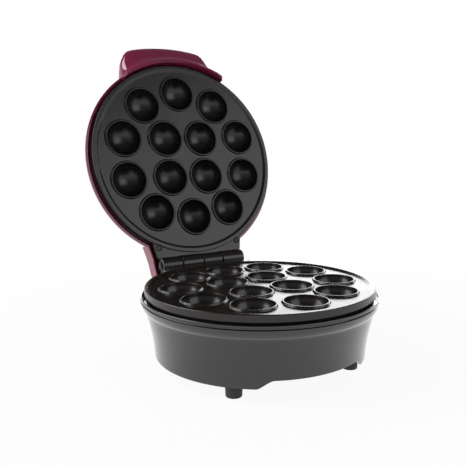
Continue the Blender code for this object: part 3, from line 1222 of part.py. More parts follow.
def base_pieces(holder):
    """Build everything that stays on the table."""
    base_housing(holder)
    bottom_cover(holder)
    for name, place in foot_places().items():
        foot(name, place, holder)
    seat = PANEL_FACE - FIT
    screws("bottom_cover_screw", [(x, y, seat) for x, y, _ in panel_post_places()], COVER_SCREW_LENGTH, holder, up=True)
    plate("lower_plate", False, holder)
    seat = -SPOT_FACE_DEPTH + FIT
    places = [(side * NECK_SCREW_X, NECK_SCREW_Y, seat) for side in (-1, 1)]
    screws("lower_plate_screw", places, NECK_SCREW_LENGTH, holder, cross=True)
    heating_element("lower_heating_element", False, holder)
    element_bushes("lower_element_bush", False, holder)
    heat_shield("lower_heat_shield", False, holder)
    seat = -SHIELD_DEPTH - SHIELD_THICKNESS - FIT
    places = [polar(SHIELD_BOSS_PLACE, degrees, seat) for degrees in SHIELD_BOSS_DEGREES]
    screws("lower_shield_screw", places, SMALL_SCREW_LENGTH, holder, up=True)
    thermostat(holder)
    seat -= FIT + THERMOSTAT_EAR_THICKNESS
    places = [(side * THERMOSTAT_SCREW_X, 0.0, seat) for side in (-1, 1)]
    screws("thermostat_screw", places, SHORT_SCREW_LENGTH, holder, up=True)
    fuse_and_clip(holder)
    terminal_block(holder)
    lower_leads(holder)
    cord_bushing(holder)
    hinge_pin(holder)


def lid_pieces(holder):
    """Build everything that swings with the lid."""
    lid_cover(holder)
    plate("upper_plate", True, holder)
    seat = flip(-SPOT_FACE_DEPTH + FIT, True)
    places = [(side * NECK_SCREW_X, NECK_SCREW_Y, seat) for side in (-1, 1)]
    screws("upper_plate_screw", places, NECK_SCREW_LENGTH, holder, up=True, cross=True)
    heating_element("upper_heating_element", True, holder)
    element_bushes("upper_element_bush", True, holder)
    heat_shield("upper_heat_shield", True, holder)
    seat = flip(-SHIELD_DEPTH - SHIELD_THICKNESS - FIT, True)
    places = [polar(SHIELD_BOSS_PLACE, degrees, seat) for degrees in SHIELD_BOSS_DEGREES]
    screws("upper_shield_screw", places, SMALL_SCREW_LENGTH, holder)
    lamps(holder)
    low, _ = board_levels()
    places = [(side * LAMP_POST_X, LAMP_Y, low - FIT) for side in (-1, 1)]
    screws("lamp_board_screw", places, LAMP_SCREW_LENGTH, holder, up=True, shank=LAMP_POST_RADIUS / 2 - FIT)
    upper_leads(holder)


def set_on_origin(frame):
    """Move the whole model so that the middle of its floor outline is the origin."""
    bpy.context.view_layer.update()
    graph = bpy.context.evaluated_depsgraph_get()
    spots = []
    for item in bpy.data.objects:
        if item.type != "EMPTY" and not item.hide_render:
            solid = item.evaluated_get(graph)
            spots += [solid.matrix_world @ vert.co for vert in solid.to_mesh().vertices]
            solid.to_mesh_clear()
    lows = [min(spot[axis] for spot in spots) for axis in range(3)]
    highs = [max(spot[axis] for spot in spots) for axis in range(3)]
    frame.location = (-(lows[0] + highs[0]) / 2, -(lows[1] + highs[1]) / 2, -lows[2])


def main():
    """Build the whole object, open."""
    remove_scene_objects()
    frame = empty("base_frame", (0.0, 0.0, 0.0))
    base_pieces({"empty": frame, "offset": (0.0, 0.0, 0.0)})
    axis = empty("lid_axis", (0.0, HINGE_Y, HINGE_Z), frame)
    axis.rotation_euler = (math.radians(-HINGE_OPEN_DEGREES), 0.0, 0.0)
    lid_pieces({"empty": axis, "offset": (0.0, -HINGE_Y, -HINGE_Z)})
    set_on_origin(frame)


if __name__ == "__main__":
    main()
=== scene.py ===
"""Looks of a countertop cake pop maker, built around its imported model.

Pieces are drawn in the frame in which the maker draws the shut cooker: x across, y towards the hinge, z up
from the rim of the lower plate. They are then placed on the floor, and the lid's pieces are swung open.
"""

import logging
import math
from dataclasses import dataclass, field
from enum import Enum
from itertools import product
from typing import Callable, Iterable, Sequence

import bmesh
import bpy
from mathutils import Matrix, Vector

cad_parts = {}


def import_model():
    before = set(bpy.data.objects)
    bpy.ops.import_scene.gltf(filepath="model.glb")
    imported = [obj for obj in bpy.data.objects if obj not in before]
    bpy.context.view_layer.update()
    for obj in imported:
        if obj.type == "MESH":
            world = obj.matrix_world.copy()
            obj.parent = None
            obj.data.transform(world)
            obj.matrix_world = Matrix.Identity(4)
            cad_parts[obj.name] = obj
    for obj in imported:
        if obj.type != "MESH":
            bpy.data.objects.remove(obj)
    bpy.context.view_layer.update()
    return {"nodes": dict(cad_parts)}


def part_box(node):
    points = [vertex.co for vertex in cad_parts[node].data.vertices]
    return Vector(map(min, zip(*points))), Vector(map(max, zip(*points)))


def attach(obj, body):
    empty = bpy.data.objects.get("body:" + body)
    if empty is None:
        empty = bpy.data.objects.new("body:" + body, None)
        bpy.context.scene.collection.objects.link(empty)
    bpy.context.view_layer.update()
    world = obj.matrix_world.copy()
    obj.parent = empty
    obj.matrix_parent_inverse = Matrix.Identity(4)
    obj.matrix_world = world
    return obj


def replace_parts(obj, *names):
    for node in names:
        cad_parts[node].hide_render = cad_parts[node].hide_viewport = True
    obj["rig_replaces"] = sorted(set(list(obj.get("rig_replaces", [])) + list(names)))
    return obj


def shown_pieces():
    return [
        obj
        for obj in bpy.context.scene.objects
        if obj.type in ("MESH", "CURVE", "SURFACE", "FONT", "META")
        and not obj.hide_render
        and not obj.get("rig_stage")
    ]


log = logging.getLogger("cake_pop_maker")

Spot = tuple[float, float]
Point = tuple[float, float, float]
Colour = tuple[float, float, float]

MM = 0.001
MERGE = 0.00001
OVERRUN = 2 * MM
FIT = 0.3 * MM

# Stretches round a turned piece, for fine ones down to posts that are hidden.
FINE_STEPS = 48
SMALL_STEPS = 40
BORE_STEPS = 32
POST_STEPS = 24

WHITE: Colour = (1.0, 1.0, 1.0)
DUST: Colour = (0.32, 0.31, 0.30)
COAT_SPECK: Colour = (0.035, 0.034, 0.034)


# Sizes that pieces share

PLATE_GAP = 0.4 * MM
NECK_SCREW: Spot = (50.8 * MM, 105.4 * MM)
SHELF_REACH: Spot = (110.4 * MM, 112.9 * MM)
SHELF_THICKNESS = 2.0 * MM
LID_RIM = 9.0 * MM
LID_BACK = 139.5 * MM
LENS_PLACE: Spot = (13.0 * MM, -84.0 * MM)
BLOCK_BACK = 118.5 * MM
BUSH_DROP = 45.0 * MM


# Frames

FLOOR_PLACE = Matrix.Translation((0.0, -54.8842 * MM, 82.0 * MM))
HINGE_PLACE = Vector((0.0, 126.27 * MM, 0.2 * MM))
LID_OPEN_DEGREES = 106.9
LID_PLACE = (
    FLOOR_PLACE
    @ Matrix.Translation(HINGE_PLACE)
    @ Matrix.Rotation(-math.radians(LID_OPEN_DEGREES), 4, "X")
    @ Matrix.Translation(-HINGE_PLACE)
)


class Carrier(Enum):
    """The body that a piece moves with."""

    BASE = "base"
    LID = "lid"

    @property
    def place(self) -> Matrix:
        """Where the body's drawing frame stands in the scene."""
        return FLOOR_PLACE if self is Carrier.BASE else LID_PLACE


# The lid's plate and screws are drawn as the base's ones, then turned over.
TURNED_OVER = Matrix.Translation((0.0, 0.0, PLATE_GAP)) @ Matrix.Diagonal((1.0, 1.0, -1.0, 1.0))


# Modelling


class Join(Enum):
    """What happens to an object where a tool meets it."""

    ADD = "UNION"
    CUT = "DIFFERENCE"


class Axis(Enum):
    """The axis that a turned piece stands along."""

    ACROSS = "X"
    BACK = "Y"
    UP = "Z"

    @property
    def turn(self) -> Matrix:
        """How a piece turned about the upright axis is laid along this one."""
        quarter = math.pi / 2
        turns = {"X": Matrix.Rotation(quarter, 4, "Y"), "Y": Matrix.Rotation(-quarter, 4, "X"), "Z": Matrix()}
        return turns[self.value]


def polar(radius: float, degrees: float) -> Spot:
    """Return the point at a radius and an angle."""
    angle = math.radians(degrees)
    return (radius * math.cos(angle), radius * math.sin(angle))


def softened(corners: Sequence[tuple[float, float, float]], steps: int = 5) -> list[Spot]:
    """Round the corners of an outline.

    Args:
        corners: corner points, each with the radius that it gets.
        steps: number of stretches in each rounding.

    Returns:
        The outline's points.
    """
    made: list[Spot] = []
    count = len(corners)
    for index, (x, y, radius) in enumerate(corners):
        here = Vector((x, y))
        before = Vector(corners[index - 1][:2]) - here
        after = Vector(corners[(index + 1) % count][:2]) - here
        if radius <= 0 or before.length < MERGE or after.length < MERGE:
            made.append((x, y))
            continue
        half = before.angle(after) / 2
        if half > math.radians(88):
            made.append((x, y))
            continue
        run = min(radius / math.tan(half), before.length * 0.48, after.length * 0.48)
        start, end = here + before.normalized() * run, here + after.normalized() * run
        for step in range(steps + 1):
            share = step / steps
            point = start.lerp(here, share).lerp(here.lerp(end, share), share)
            made.append((point.x, point.y))
    return made


def flowing(points: Sequence[Sequence[float]], steps: int) -> list[tuple[float, ...]]:
    """Return a smooth run of points through the given ones.

    Args:
        points: points that the run passes through.
        steps: number of stretches between two of them.

    Returns:
        The run's points, the given ones among them.
    """
    spots = [Vector(point) for point in points]
    ends = [2 * spots[0] - spots[1]] + spots + [2 * spots[-1] - spots[-2]]
    route = []
    for index in range(1, len(ends) - 2):
        a, b, c, d = ends[index - 1 : index + 3]
        for step in range(steps):
            t = step / steps
            bend, twist = 2 * a - 5 * b + 4 * c - d, 3 * b - a - 3 * c + d
            route.append(0.5 * (2 * b + (c - a) * t + bend * t**2 + twist * t**3))
    return [tuple(spot) for spot in route + [spots[-1]]]


class Bench:
    """The modelling tools, used as by hand."""

    @staticmethod
    def alone(item: bpy.types.Object) -> None:
        """Select one object and make it active."""
        bpy.ops.object.select_all(action="DESELECT")
        item.select_set(True)
        bpy.context.view_layer.objects.active = item

    @staticmethod
    def edit(item: bpy.types.Object) -> bmesh.types.BMesh:
        """Open an object for editing and return its editing mesh."""
        Bench.alone(item)
        bpy.ops.object.mode_set(mode="EDIT")
        return bmesh.from_edit_mesh(item.data)

    @staticmethod
    def close() -> None:
        """Leave edit mode."""
        bpy.ops.object.mode_set(mode="OBJECT")

    @staticmethod
    def pick(mesh: bmesh.types.BMesh, parts: Iterable, data: bpy.types.Mesh) -> None:
        """Select exactly these faces, edges or vertices."""
        bpy.ops.mesh.select_all(action="DESELECT")
        for part in parts:
            part.select_set(True)
        mesh.select_flush_mode()
        bmesh.update_edit_mesh(data)

    @staticmethod
    def tidy(item: bpy.types.Object) -> bpy.types.Object:
        """Merge doubled vertices and turn the faces outwards."""
        Bench.edit(item)
        bpy.ops.mesh.select_all(action="SELECT")
        bpy.ops.mesh.remove_doubles(threshold=MERGE)
        bpy.ops.mesh.normals_make_consistent(inside=False)
        Bench.close()
        return item

    @staticmethod
    def ring(name: str, points: Sequence[Point]) -> bpy.types.Object:
        """Draw a closed ring of points, from a circle that is shaped to them."""
        bpy.ops.object.select_all(action="DESELECT")
        bpy.ops.mesh.primitive_circle_add(vertices=len(points), radius=1.0, fill_type="NOTHING")
        item = bpy.context.active_object
        item.name = name
        item.data.name = name
        for vertex, point in zip(item.data.vertices, points):
            vertex.co = point
        return item

    @staticmethod
    def lathe(
        name: str, outline: Sequence[Spot], steps: int, axis: Axis = Axis.UP, place: Point = (0, 0, 0)
    ) -> bpy.types.Object:
        """Spin a closed outline about an axis.

        Args:
            name: the object's name.
            outline: (radius, height) points of half the section, closed along the axis or off it.
            steps: number of stretches round the axis.
            axis: the axis that the finished shape stands along.
            place: a point of that axis.

        Returns:
            The turned solid.
        """
        item = Bench.ring(name, [(radius, 0.0, height) for radius, height in outline])
        mesh = Bench.edit(item)
        on_axis = [edge for edge in mesh.edges if all(abs(end.co.x) < MERGE for end in edge.verts)]
        bmesh.ops.delete(mesh, geom=on_axis, context="EDGES")
        bmesh.update_edit_mesh(item.data)
        bpy.ops.mesh.select_all(action="SELECT")
        bpy.ops.mesh.spin(steps=steps, angle=math.tau, center=(0, 0, 0), axis=(0, 0, 1), use_auto_merge=True)
        Bench.close()
        Bench.tidy(item)
        item.data.transform(Matrix.Translation(place) @ axis.turn)
        return item

    @staticmethod
    def prism(name: str, plan: Sequence[Spot], low: float, high: float) -> bpy.types.Object:
        """Fill a plan and extrude it from one height to another."""
        item = Bench.ring(name, [(x, y, low) for x, y in plan])
        Bench.edit(item)
        bpy.ops.mesh.select_all(action="SELECT")
        bpy.ops.mesh.edge_face_add()
        bpy.ops.mesh.extrude_region_move(TRANSFORM_OT_translate={"value": (0.0, 0.0, high - low)})
        Bench.close()
        return Bench.tidy(item)

    @staticmethod
    def box(name: str, low: Point, high: Point, turn_degrees: float = 0.0) -> bpy.types.Object:
        """Draw a box between two corners, turned about the z axis."""
        plan = [(low[0], low[1]), (high[0], low[1]), (high[0], high[1]), (low[0], high[1])]
        item = Bench.prism(name, plan, low[2], high[2])
        item.data.transform(Matrix.Rotation(math.radians(turn_degrees), 4, "Z"))
        return item

    @staticmethod
    def skin(name: str, sections: Sequence[Sequence[Point]]) -> bpy.types.Object:
        """Wrap a grid round closed sections of one point count and close both ends.

        Args:
            name: the object's name.
            sections: rings of points, one after another along the form.

        Returns:
            The closed form.
        """
        across, along = len(sections[0]), len(sections)
        bpy.ops.object.select_all(action="DESELECT")
        bpy.ops.mesh.primitive_grid_add(x_subdivisions=across, y_subdivisions=along - 1, size=1.0)
        item = bpy.context.active_object
        item.name = name
        item.data.name = name
        for vertex in item.data.vertices:
            column = round((vertex.co.x + 0.5) * across) % across
            row = round((vertex.co.y + 0.5) * (along - 1))
            vertex.co = sections[row][column]
        Bench.edit(item)
        bpy.ops.mesh.select_all(action="SELECT")
        bpy.ops.mesh.remove_doubles(threshold=MERGE)
        mesh = bmesh.from_edit_mesh(item.data)
        Bench.pick(mesh, [edge for edge in mesh.edges if edge.is_boundary], item.data)
        bpy.ops.mesh.edge_face_add()
        bpy.ops.mesh.select_all(action="SELECT")
        bpy.ops.mesh.fill_holes(sides=0)
        Bench.close()
        return Bench.tidy(item)

    @staticmethod
    def rounded_edges(
        item: bpy.types.Object, test: Callable[[bmesh.types.BMEdge], bool], width: float, steps: int = 3
    ) -> bpy.types.Object:
        """Bevel the edges that a test picks out.

        Args:
            item: the object that changes.
            test: says of an edge whether it is rounded.
            width: how far the bevel reaches.
            steps: number of stretches across it.

        Returns:
            The changed object.
        """
        mesh = Bench.edit(item)
        Bench.pick(mesh, [edge for edge in mesh.edges if test(edge)], item.data)
        bpy.ops.mesh.bevel(offset=width, segments=steps, profile=0.5, affect="EDGES", clamp_overlap=True)
        Bench.close()
        return item

    @staticmethod
    def united(parts: Sequence[bpy.types.Object]) -> bpy.types.Object:
        """Join objects into the first one, as one mesh."""
        Bench.alone(parts[0])
        for part in parts[1:]:
            part.select_set(True)
        bpy.ops.object.join()
        return parts[0]

    @staticmethod
    def combine(
        item: bpy.types.Object, tools: Sequence[bpy.types.Object], operation: Join, crossing: bool = False
    ) -> bpy.types.Object:
        """Add the tools to an object or cut them from it, and take them away.

        Args:
            item: the object that changes.
            tools: solids clear of one another, unless crossing is set.
            operation: whether they are added or cut away.
            crossing: whether the tools run into one another.

        Returns:
            The changed object.
        """
        tool = Bench.united(list(tools))
        Bench.alone(item)
        bpy.ops.object.modifier_add(type="BOOLEAN")
        step = item.modifiers[-1]
        step.operation = operation.value
        step.object = tool
        step.solver = "EXACT"
        step.use_self = crossing
        bpy.ops.object.modifier_apply(modifier=step.name)
        bpy.data.objects.remove(tool, do_unlink=True)
        return item

    @staticmethod
    def twin(item: bpy.types.Object, name: str, shift: Point = (0, 0, 0)) -> bpy.types.Object:
        """Copy an object with its own mesh, moved by a shift."""
        Bench.alone(item)
        bpy.ops.object.duplicate(linked=False)
        made = bpy.context.active_object
        made.name = name
        made.data.name = name
        made.data.transform(Matrix.Translation(shift))
        return made

    @staticmethod
    def finished(
        item: bpy.types.Object,
        carrier: Carrier,
        nodes: Sequence[str],
        coat: "Finish",
        slot: str,
        degrees: float = 32.0,
    ) -> bpy.types.Object:
        """Place a drawn piece, dress it and hang it on its body.

        Args:
            item: the drawn piece.
            carrier: the body that it moves with.
            nodes: the CAD nodes that it stands for.
            coat: its finish.
            slot: the record's slot for that finish; not used.
            degrees: faces that meet at less than this angle are shaded as one.

        Returns:
            The finished piece.
        """
        item.data.transform(carrier.place)
        Bench.alone(item)
        bpy.ops.object.shade_smooth_by_angle(angle=math.radians(degrees))
        bpy.ops.object.modifier_add(type="WEIGHTED_NORMAL")
        item.modifiers[-1].keep_sharp = True
        bpy.ops.object.modifier_apply(modifier=item.modifiers[-1].name)
        item.data.materials.clear()
        item.data.materials.append(coat.material())
        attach(item, carrier.value)
        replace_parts(item, *nodes)
        log.info("%s: %d faces, rides on %s", item.name, len(item.data.polygons), carrier.value)
        return item


# Materials


class Wire:
    """A shader socket that takes part in sums."""

    def __init__(self, recipe: "Recipe", socket: bpy.types.NodeSocket) -> None:
        """Keep the socket and the recipe that it belongs to."""
        self.recipe = recipe
        self.socket = socket

    def sum(self, operation: str, other: "Wire | float", turned: bool = False) -> "Wire":
        """Add a Math node on this value and another, the other one first if turned."""
        first, second = (other, self) if turned else (self, other)
        return self.recipe.node("Math", {"operation": operation}, {0: first, 1: second})

    def __add__(self, other: "Wire | float") -> "Wire":
        """Return the sum."""
        return self.sum("ADD", other)

    def __radd__(self, other: float) -> "Wire":
        """Return the sum."""
        return self.sum("ADD", other)

    def __sub__(self, other: "Wire | float") -> "Wire":
        """Return the difference."""
        return self.sum("SUBTRACT", other)

    def __rsub__(self, other: float) -> "Wire":
        """Return the difference, turned round."""
        return self.sum("SUBTRACT", other, turned=True)

    def __mul__(self, other: "Wire | float") -> "Wire":
        """Return the product."""
        return self.sum("MULTIPLY", other)

    def __rmul__(self, other: float) -> "Wire":
        """Return the product."""
        return self.sum("MULTIPLY", other)

    def step(self, low: float, high: float) -> "Wire":
        """Return a smooth rise from 0 at low to 1 at high."""
        settings = {"interpolation_type": "SMOOTHSTEP"}
        return self.recipe.node("MapRange", settings, {"Value": self, "From Min": low, "From Max": high})


class Recipe:
    """The nodes of a material or of the world, as they are put together."""

    def __init__(self, owner: bpy.types.Material | bpy.types.World) -> None:
        """Start from a new material or world; a material begins with one shader and its output."""
        owner.use_nodes = True
        self.owner = owner
        self.tree = owner.node_tree
        self.shader = self.tree.nodes.get("Principled BSDF")

    def node(
        self,
        kind: str,
        settings: dict | None = None,
        inputs: dict | None = None,
        output: int | str | None = 0,
    ) -> Wire:
        """Add a node.

        Args:
            kind: its type, without the ShaderNode that it starts with.
            settings: its properties, set first.
            inputs: socket name or number to a value or a wire.
            output: the socket that is wanted, or None for a node that ends the tree.

        Returns:
            The wire from that socket.
        """
        made = self.tree.nodes.new("ShaderNode" + kind)
        for key, value in (settings or {}).items():
            setattr(made, key, value)
        for key, value in (inputs or {}).items():
            self.feed(made.inputs[key], value)
        return Wire(self, made.outputs[output]) if output is not None else Wire(self, made.inputs[0])

    def rays(self, *kinds: str) -> list[Wire]:
        """Return a wire for each kind of ray, 1 where the light path is of that kind.

        Args:
            kinds: names of the Light Path node's sockets.

        Returns:
            The wires, in the same order.
        """
        path = self.node("LightPath").socket.node
        return [Wire(self, path.outputs[kind]) for kind in kinds]

    def feed(self, socket: bpy.types.NodeSocket, value: Wire | float | Sequence[float]) -> None:
        """Link a wire to a socket, or set the socket to a value."""
        if isinstance(value, Wire):
            self.tree.links.new(value.socket, socket)
        elif isinstance(value, (tuple, list)) and socket.type == "RGBA" and len(value) == 3:
            socket.default_value = (*value, 1.0)
        else:
            socket.default_value = value

    def place(self, scale: Point = (1, 1, 1)) -> Wire:
        """Return the place on the object, scaled along each axis."""
        here = self.node("TexCoord", output="Object")
        return self.node("Mapping", {"vector_type": "POINT"}, {"Vector": here, "Scale": scale})

    def grain(
        self, size: float, detail: float = 3.0, roughness: float = 0.5, vector: Wire | None = None
    ) -> Wire:
        """Return a noise.

        Args:
            size: about how far its features are across, in metres.
            detail: how many finer layers it has.
            roughness: how strong those are.
            vector: the place that it is read at, or None for the place on the object.

        Returns:
            The wire from the noise.
        """
        place = vector or self.place()
        values = {"Vector": place, "Scale": 1.0 / size, "Detail": detail, "Roughness": roughness}
        return self.node("TexNoise", {}, values)

    def mixed(self, share: Wire | float, low: Wire | Colour, high: Wire | Colour) -> Wire:
        """Return a colour between two."""
        made = self.tree.nodes.new("ShaderNodeMix")
        made.data_type = "RGBA"
        for socket, value in ((made.inputs[0], share), (made.inputs[6], low), (made.inputs[7], high)):
            self.feed(socket, value)
        return Wire(self, made.outputs[2])

    def bump(self, height: Wire, depth: float, strength: float = 1.0, under: Wire | None = None) -> Wire:
        """Return the normal of a height map whose full swing is a depth in metres."""
        values: dict = {"Strength": strength, "Distance": depth, "Height": height}
        if under:
            values["Normal"] = under
        return self.node("Bump", {}, values)

    def done(self, **inputs: Wire | float | Sequence[float]) -> bpy.types.Material:
        """Set the shader's sockets, named with underscores for spaces, and return the material."""
        for key, value in inputs.items():
            self.feed(self.shader.inputs[key.replace("_", " ")], value)
        return self.owner


class Finish:
    """A finish, whose material is made once."""

    made: dict[str, bpy.types.Material] = {}

    def material(self) -> bpy.types.Material:
        """Return the finish's material."""
        key = repr(self)
        if key not in Finish.made:
            Finish.made[key] = self.build()
        return Finish.made[key]

    def build(self) -> bpy.types.Material:
        """Make the material."""
        raise NotImplementedError


@dataclass(frozen=True)
class GlossPlastic(Finish):
    """Polished moulded plastic, with a faint wave from the mould, fine dust and handling marks."""

    name: str
    colour: Colour
    deep: Colour
    roughness: float
    coat: float
    wave: float = 0.00002

    def build(self) -> bpy.types.Material:
        """Make the material."""
        recipe = Recipe(bpy.data.materials.new(self.name))
        place = recipe.place()
        clouds = recipe.grain(0.09, 2.0, 0.5, place)
        wiped = recipe.grain(0.016, 4.0, 0.6, recipe.place((1.0, 1.0, 2.4)))
        dust = recipe.grain(0.0011, 2.0, 0.6, place).step(0.68, 0.80)
        colour = recipe.mixed(clouds.step(0.3, 0.7), self.deep, self.colour)
        colour = recipe.mixed(dust * 0.03, colour, DUST)
        rough = wiped.step(0.35, 0.75) * 0.03 + dust * 0.06 + self.roughness
        mould = recipe.bump(recipe.grain(0.011, 1.0, 0.4, place), self.wave)
        peel = recipe.bump(recipe.grain(0.0009, 1.0, 0.4, place), self.wave * 0.05, 0.6, mould)
        return recipe.done(
            Base_Color=colour,
            Roughness=rough,
            Normal=peel,
            Coat_Weight=self.coat,
            Coat_Roughness=0.03,
            IOR=1.5,
        )


@dataclass(frozen=True)
class NonStick(Finish):
    """Sprayed non-stick coating on cast aluminium: near black, with fine pits and a worn sheen."""

    name: str
    colour: Colour
    warm: Colour
    roughness: float

    def build(self) -> bpy.types.Material:
        """Make the material."""
        recipe = Recipe(bpy.data.materials.new(self.name))
        place = recipe.place()
        clouds = recipe.grain(0.035, 3.0, 0.55, place)
        speck = recipe.grain(0.0006, 2.0, 0.5, place)
        wear = recipe.grain(0.006, 4.0, 0.65, place)
        colour = recipe.mixed(clouds.step(0.25, 0.75), self.colour, self.warm)
        colour = recipe.mixed(speck.step(0.62, 0.74) * 0.12, colour, COAT_SPECK)
        rough = wear.step(0.3, 0.8) * 0.05 + speck * 0.04 + self.roughness
        cast = recipe.bump(recipe.grain(0.012, 1.0, 0.4, place), 0.00001)
        pits = recipe.bump(speck, 0.000006, 0.7, cast)
        return recipe.done(Base_Color=colour, Roughness=rough, Normal=pits, Coat_Weight=0.0, IOR=1.5)


@dataclass(frozen=True)
class MattPlastic(Finish):
    """Spark-eroded moulded plastic, or rubber, with a fine even texture."""

    name: str
    colour: Colour
    roughness: float
    texture: float = 0.0007
    depth: float = 0.00005

    def build(self) -> bpy.types.Material:
        """Make the material."""
        recipe = Recipe(bpy.data.materials.new(self.name))
        place = recipe.place()
        clouds = recipe.grain(0.02, 3.0, 0.5, place).step(0.3, 0.7)
        fine = recipe.grain(self.texture, 3.0, 0.6, place)
        pale = tuple(min(1.0, part * 1.35 + 0.004) for part in self.colour)
        colour = recipe.mixed(clouds * 0.6 + fine * 0.4, self.colour, pale)
        rough = fine * 0.12 + clouds * 0.05 + self.roughness
        return recipe.done(Base_Color=colour, Roughness=rough, Normal=recipe.bump(fine, self.depth))


@dataclass(frozen=True)
class Metal(Finish):
    """Plated, cast or pressed metal, with brush lines along one axis and a few dull spots."""

    name: str
    colour: Colour
    dull: Colour
    roughness: float
    stretch: Point = (1.0, 1.0, 14.0)
    metallic: float = 1.0

    def build(self) -> bpy.types.Material:
        """Make the material."""
        recipe = Recipe(bpy.data.materials.new(self.name))
        lines = recipe.grain(0.002, 3.0, 0.6, recipe.place(self.stretch))
        spots = recipe.grain(0.004, 4.0, 0.6).step(0.55, 0.75)
        colour = recipe.mixed(spots * 0.6 + lines * 0.3, self.colour, self.dull)
        rough = lines * 0.16 + spots * 0.12 + self.roughness
        brushed = recipe.bump(lines, 0.00003, 0.8)
        return recipe.done(Base_Color=colour, Roughness=rough, Metallic=self.metallic, Normal=brushed)


@dataclass(frozen=True)
class Lens(Finish):
    """Clear coloured plastic over a lamp, ribbed inside."""

    name: str
    colour: Colour
    deep: Colour

    def build(self) -> bpy.types.Material:
        """Make the material."""
        recipe = Recipe(bpy.data.materials.new(self.name))
        bands = {"Vector": recipe.place(), "Scale": 260.0, "Distortion": 0.4}
        waves = recipe.node("TexWave", {"wave_type": "BANDS"}, bands)
        cloud = recipe.grain(0.003)
        colour = recipe.mixed(waves * 0.6 + cloud * 0.4, self.deep, self.colour)
        return recipe.done(
            Base_Color=colour,
            Roughness=cloud * 0.06 + 0.07,
            Normal=recipe.bump(waves, 0.00008, 0.5),
            Coat_Weight=0.6,
            Coat_Roughness=0.03,
            Specular_IOR_Level=0.6,
        )


@dataclass(frozen=True)
class Board(Finish):
    """Pressed paper board with a faint weave and copper tracks."""

    name: str
    colour: Colour = (0.36, 0.25, 0.11)
    track: Colour = (0.52, 0.30, 0.12)

    def build(self) -> bpy.types.Material:
        """Make the material."""
        recipe = Recipe(bpy.data.materials.new(self.name))
        place = recipe.place()
        weave = recipe.node("TexBrick", {}, {"Vector": place, "Scale": 420.0, "Mortar Size": 0.03}, "Fac")
        tracks = recipe.node("TexVoronoi", {"feature": "DISTANCE_TO_EDGE"}, {"Vector": place, "Scale": 190.0})
        edge = tracks.step(0.10, 0.16)
        colour = recipe.mixed(edge, self.track, self.colour)
        raised = recipe.bump(weave + edge, 0.00003, 0.5)
        return recipe.done(Base_Color=colour, Roughness=edge * 0.25 + 0.4, Normal=raised)


BODY_BLACK = GlossPlastic("body_black", (0.0095, 0.0095, 0.0098), (0.0070, 0.0070, 0.0073), 0.15, 0.60)
LID_BURGUNDY = GlossPlastic("lid_burgundy", (0.200, 0.010, 0.050), (0.170, 0.008, 0.042), 0.09, 0.40)
PLATE_COAT = NonStick("plate_coat", (0.0085, 0.0066, 0.0060), (0.0130, 0.0088, 0.0070), 0.19)
# The lid plate has the same coating as the lower plate; this copy is painted darker, as painted shade on the
# upright lid plate and its cups.
SHADED_LID_PLATE_COAT = NonStick("lid_plate_coat_painted_shade", (0.0055, 0.0045, 0.0043), (0.0085, 0.0062, 0.0056), 0.24)
EVEN: Point = (1.0, 1.0, 1.0)
BLACK_STEEL = Metal("blackened_steel", (0.040, 0.040, 0.042), (0.065, 0.062, 0.06), 0.30, EVEN, 0.6)
RUBBER = MattPlastic("foot_rubber", (0.022, 0.022, 0.023), 0.62, 0.0009, 0.00006)
INNER_PLASTIC = MattPlastic("inner_plastic", (0.030, 0.030, 0.032), 0.50)
STEEL = Metal("zinc_plated_steel", (0.62, 0.62, 0.63), (0.40, 0.39, 0.37), 0.26)
ALUMINIUM = Metal("pressed_aluminium", (0.74, 0.74, 0.75), (0.55, 0.54, 0.52), 0.34, (1.0, 9.0, 1.0))
SHEATH = Metal("element_sheath", (0.30, 0.28, 0.26), (0.16, 0.14, 0.13), 0.42, EVEN, 0.9)
CERAMIC = MattPlastic("ceramic_bush", (0.70, 0.67, 0.60), 0.45, 0.0012, 0.00004)
LEAD_COVER = MattPlastic("lead_cover", (0.62, 0.58, 0.47), 0.55, 0.0006, 0.0001)
RED_LENS = Lens("red_lens", (0.62, 0.02, 0.015), (0.26, 0.004, 0.004))
GREEN_LENS = Lens("green_lens", (0.03, 0.42, 0.08), (0.006, 0.18, 0.03))
BOARD = Board("lamp_board")


# The two cast plates


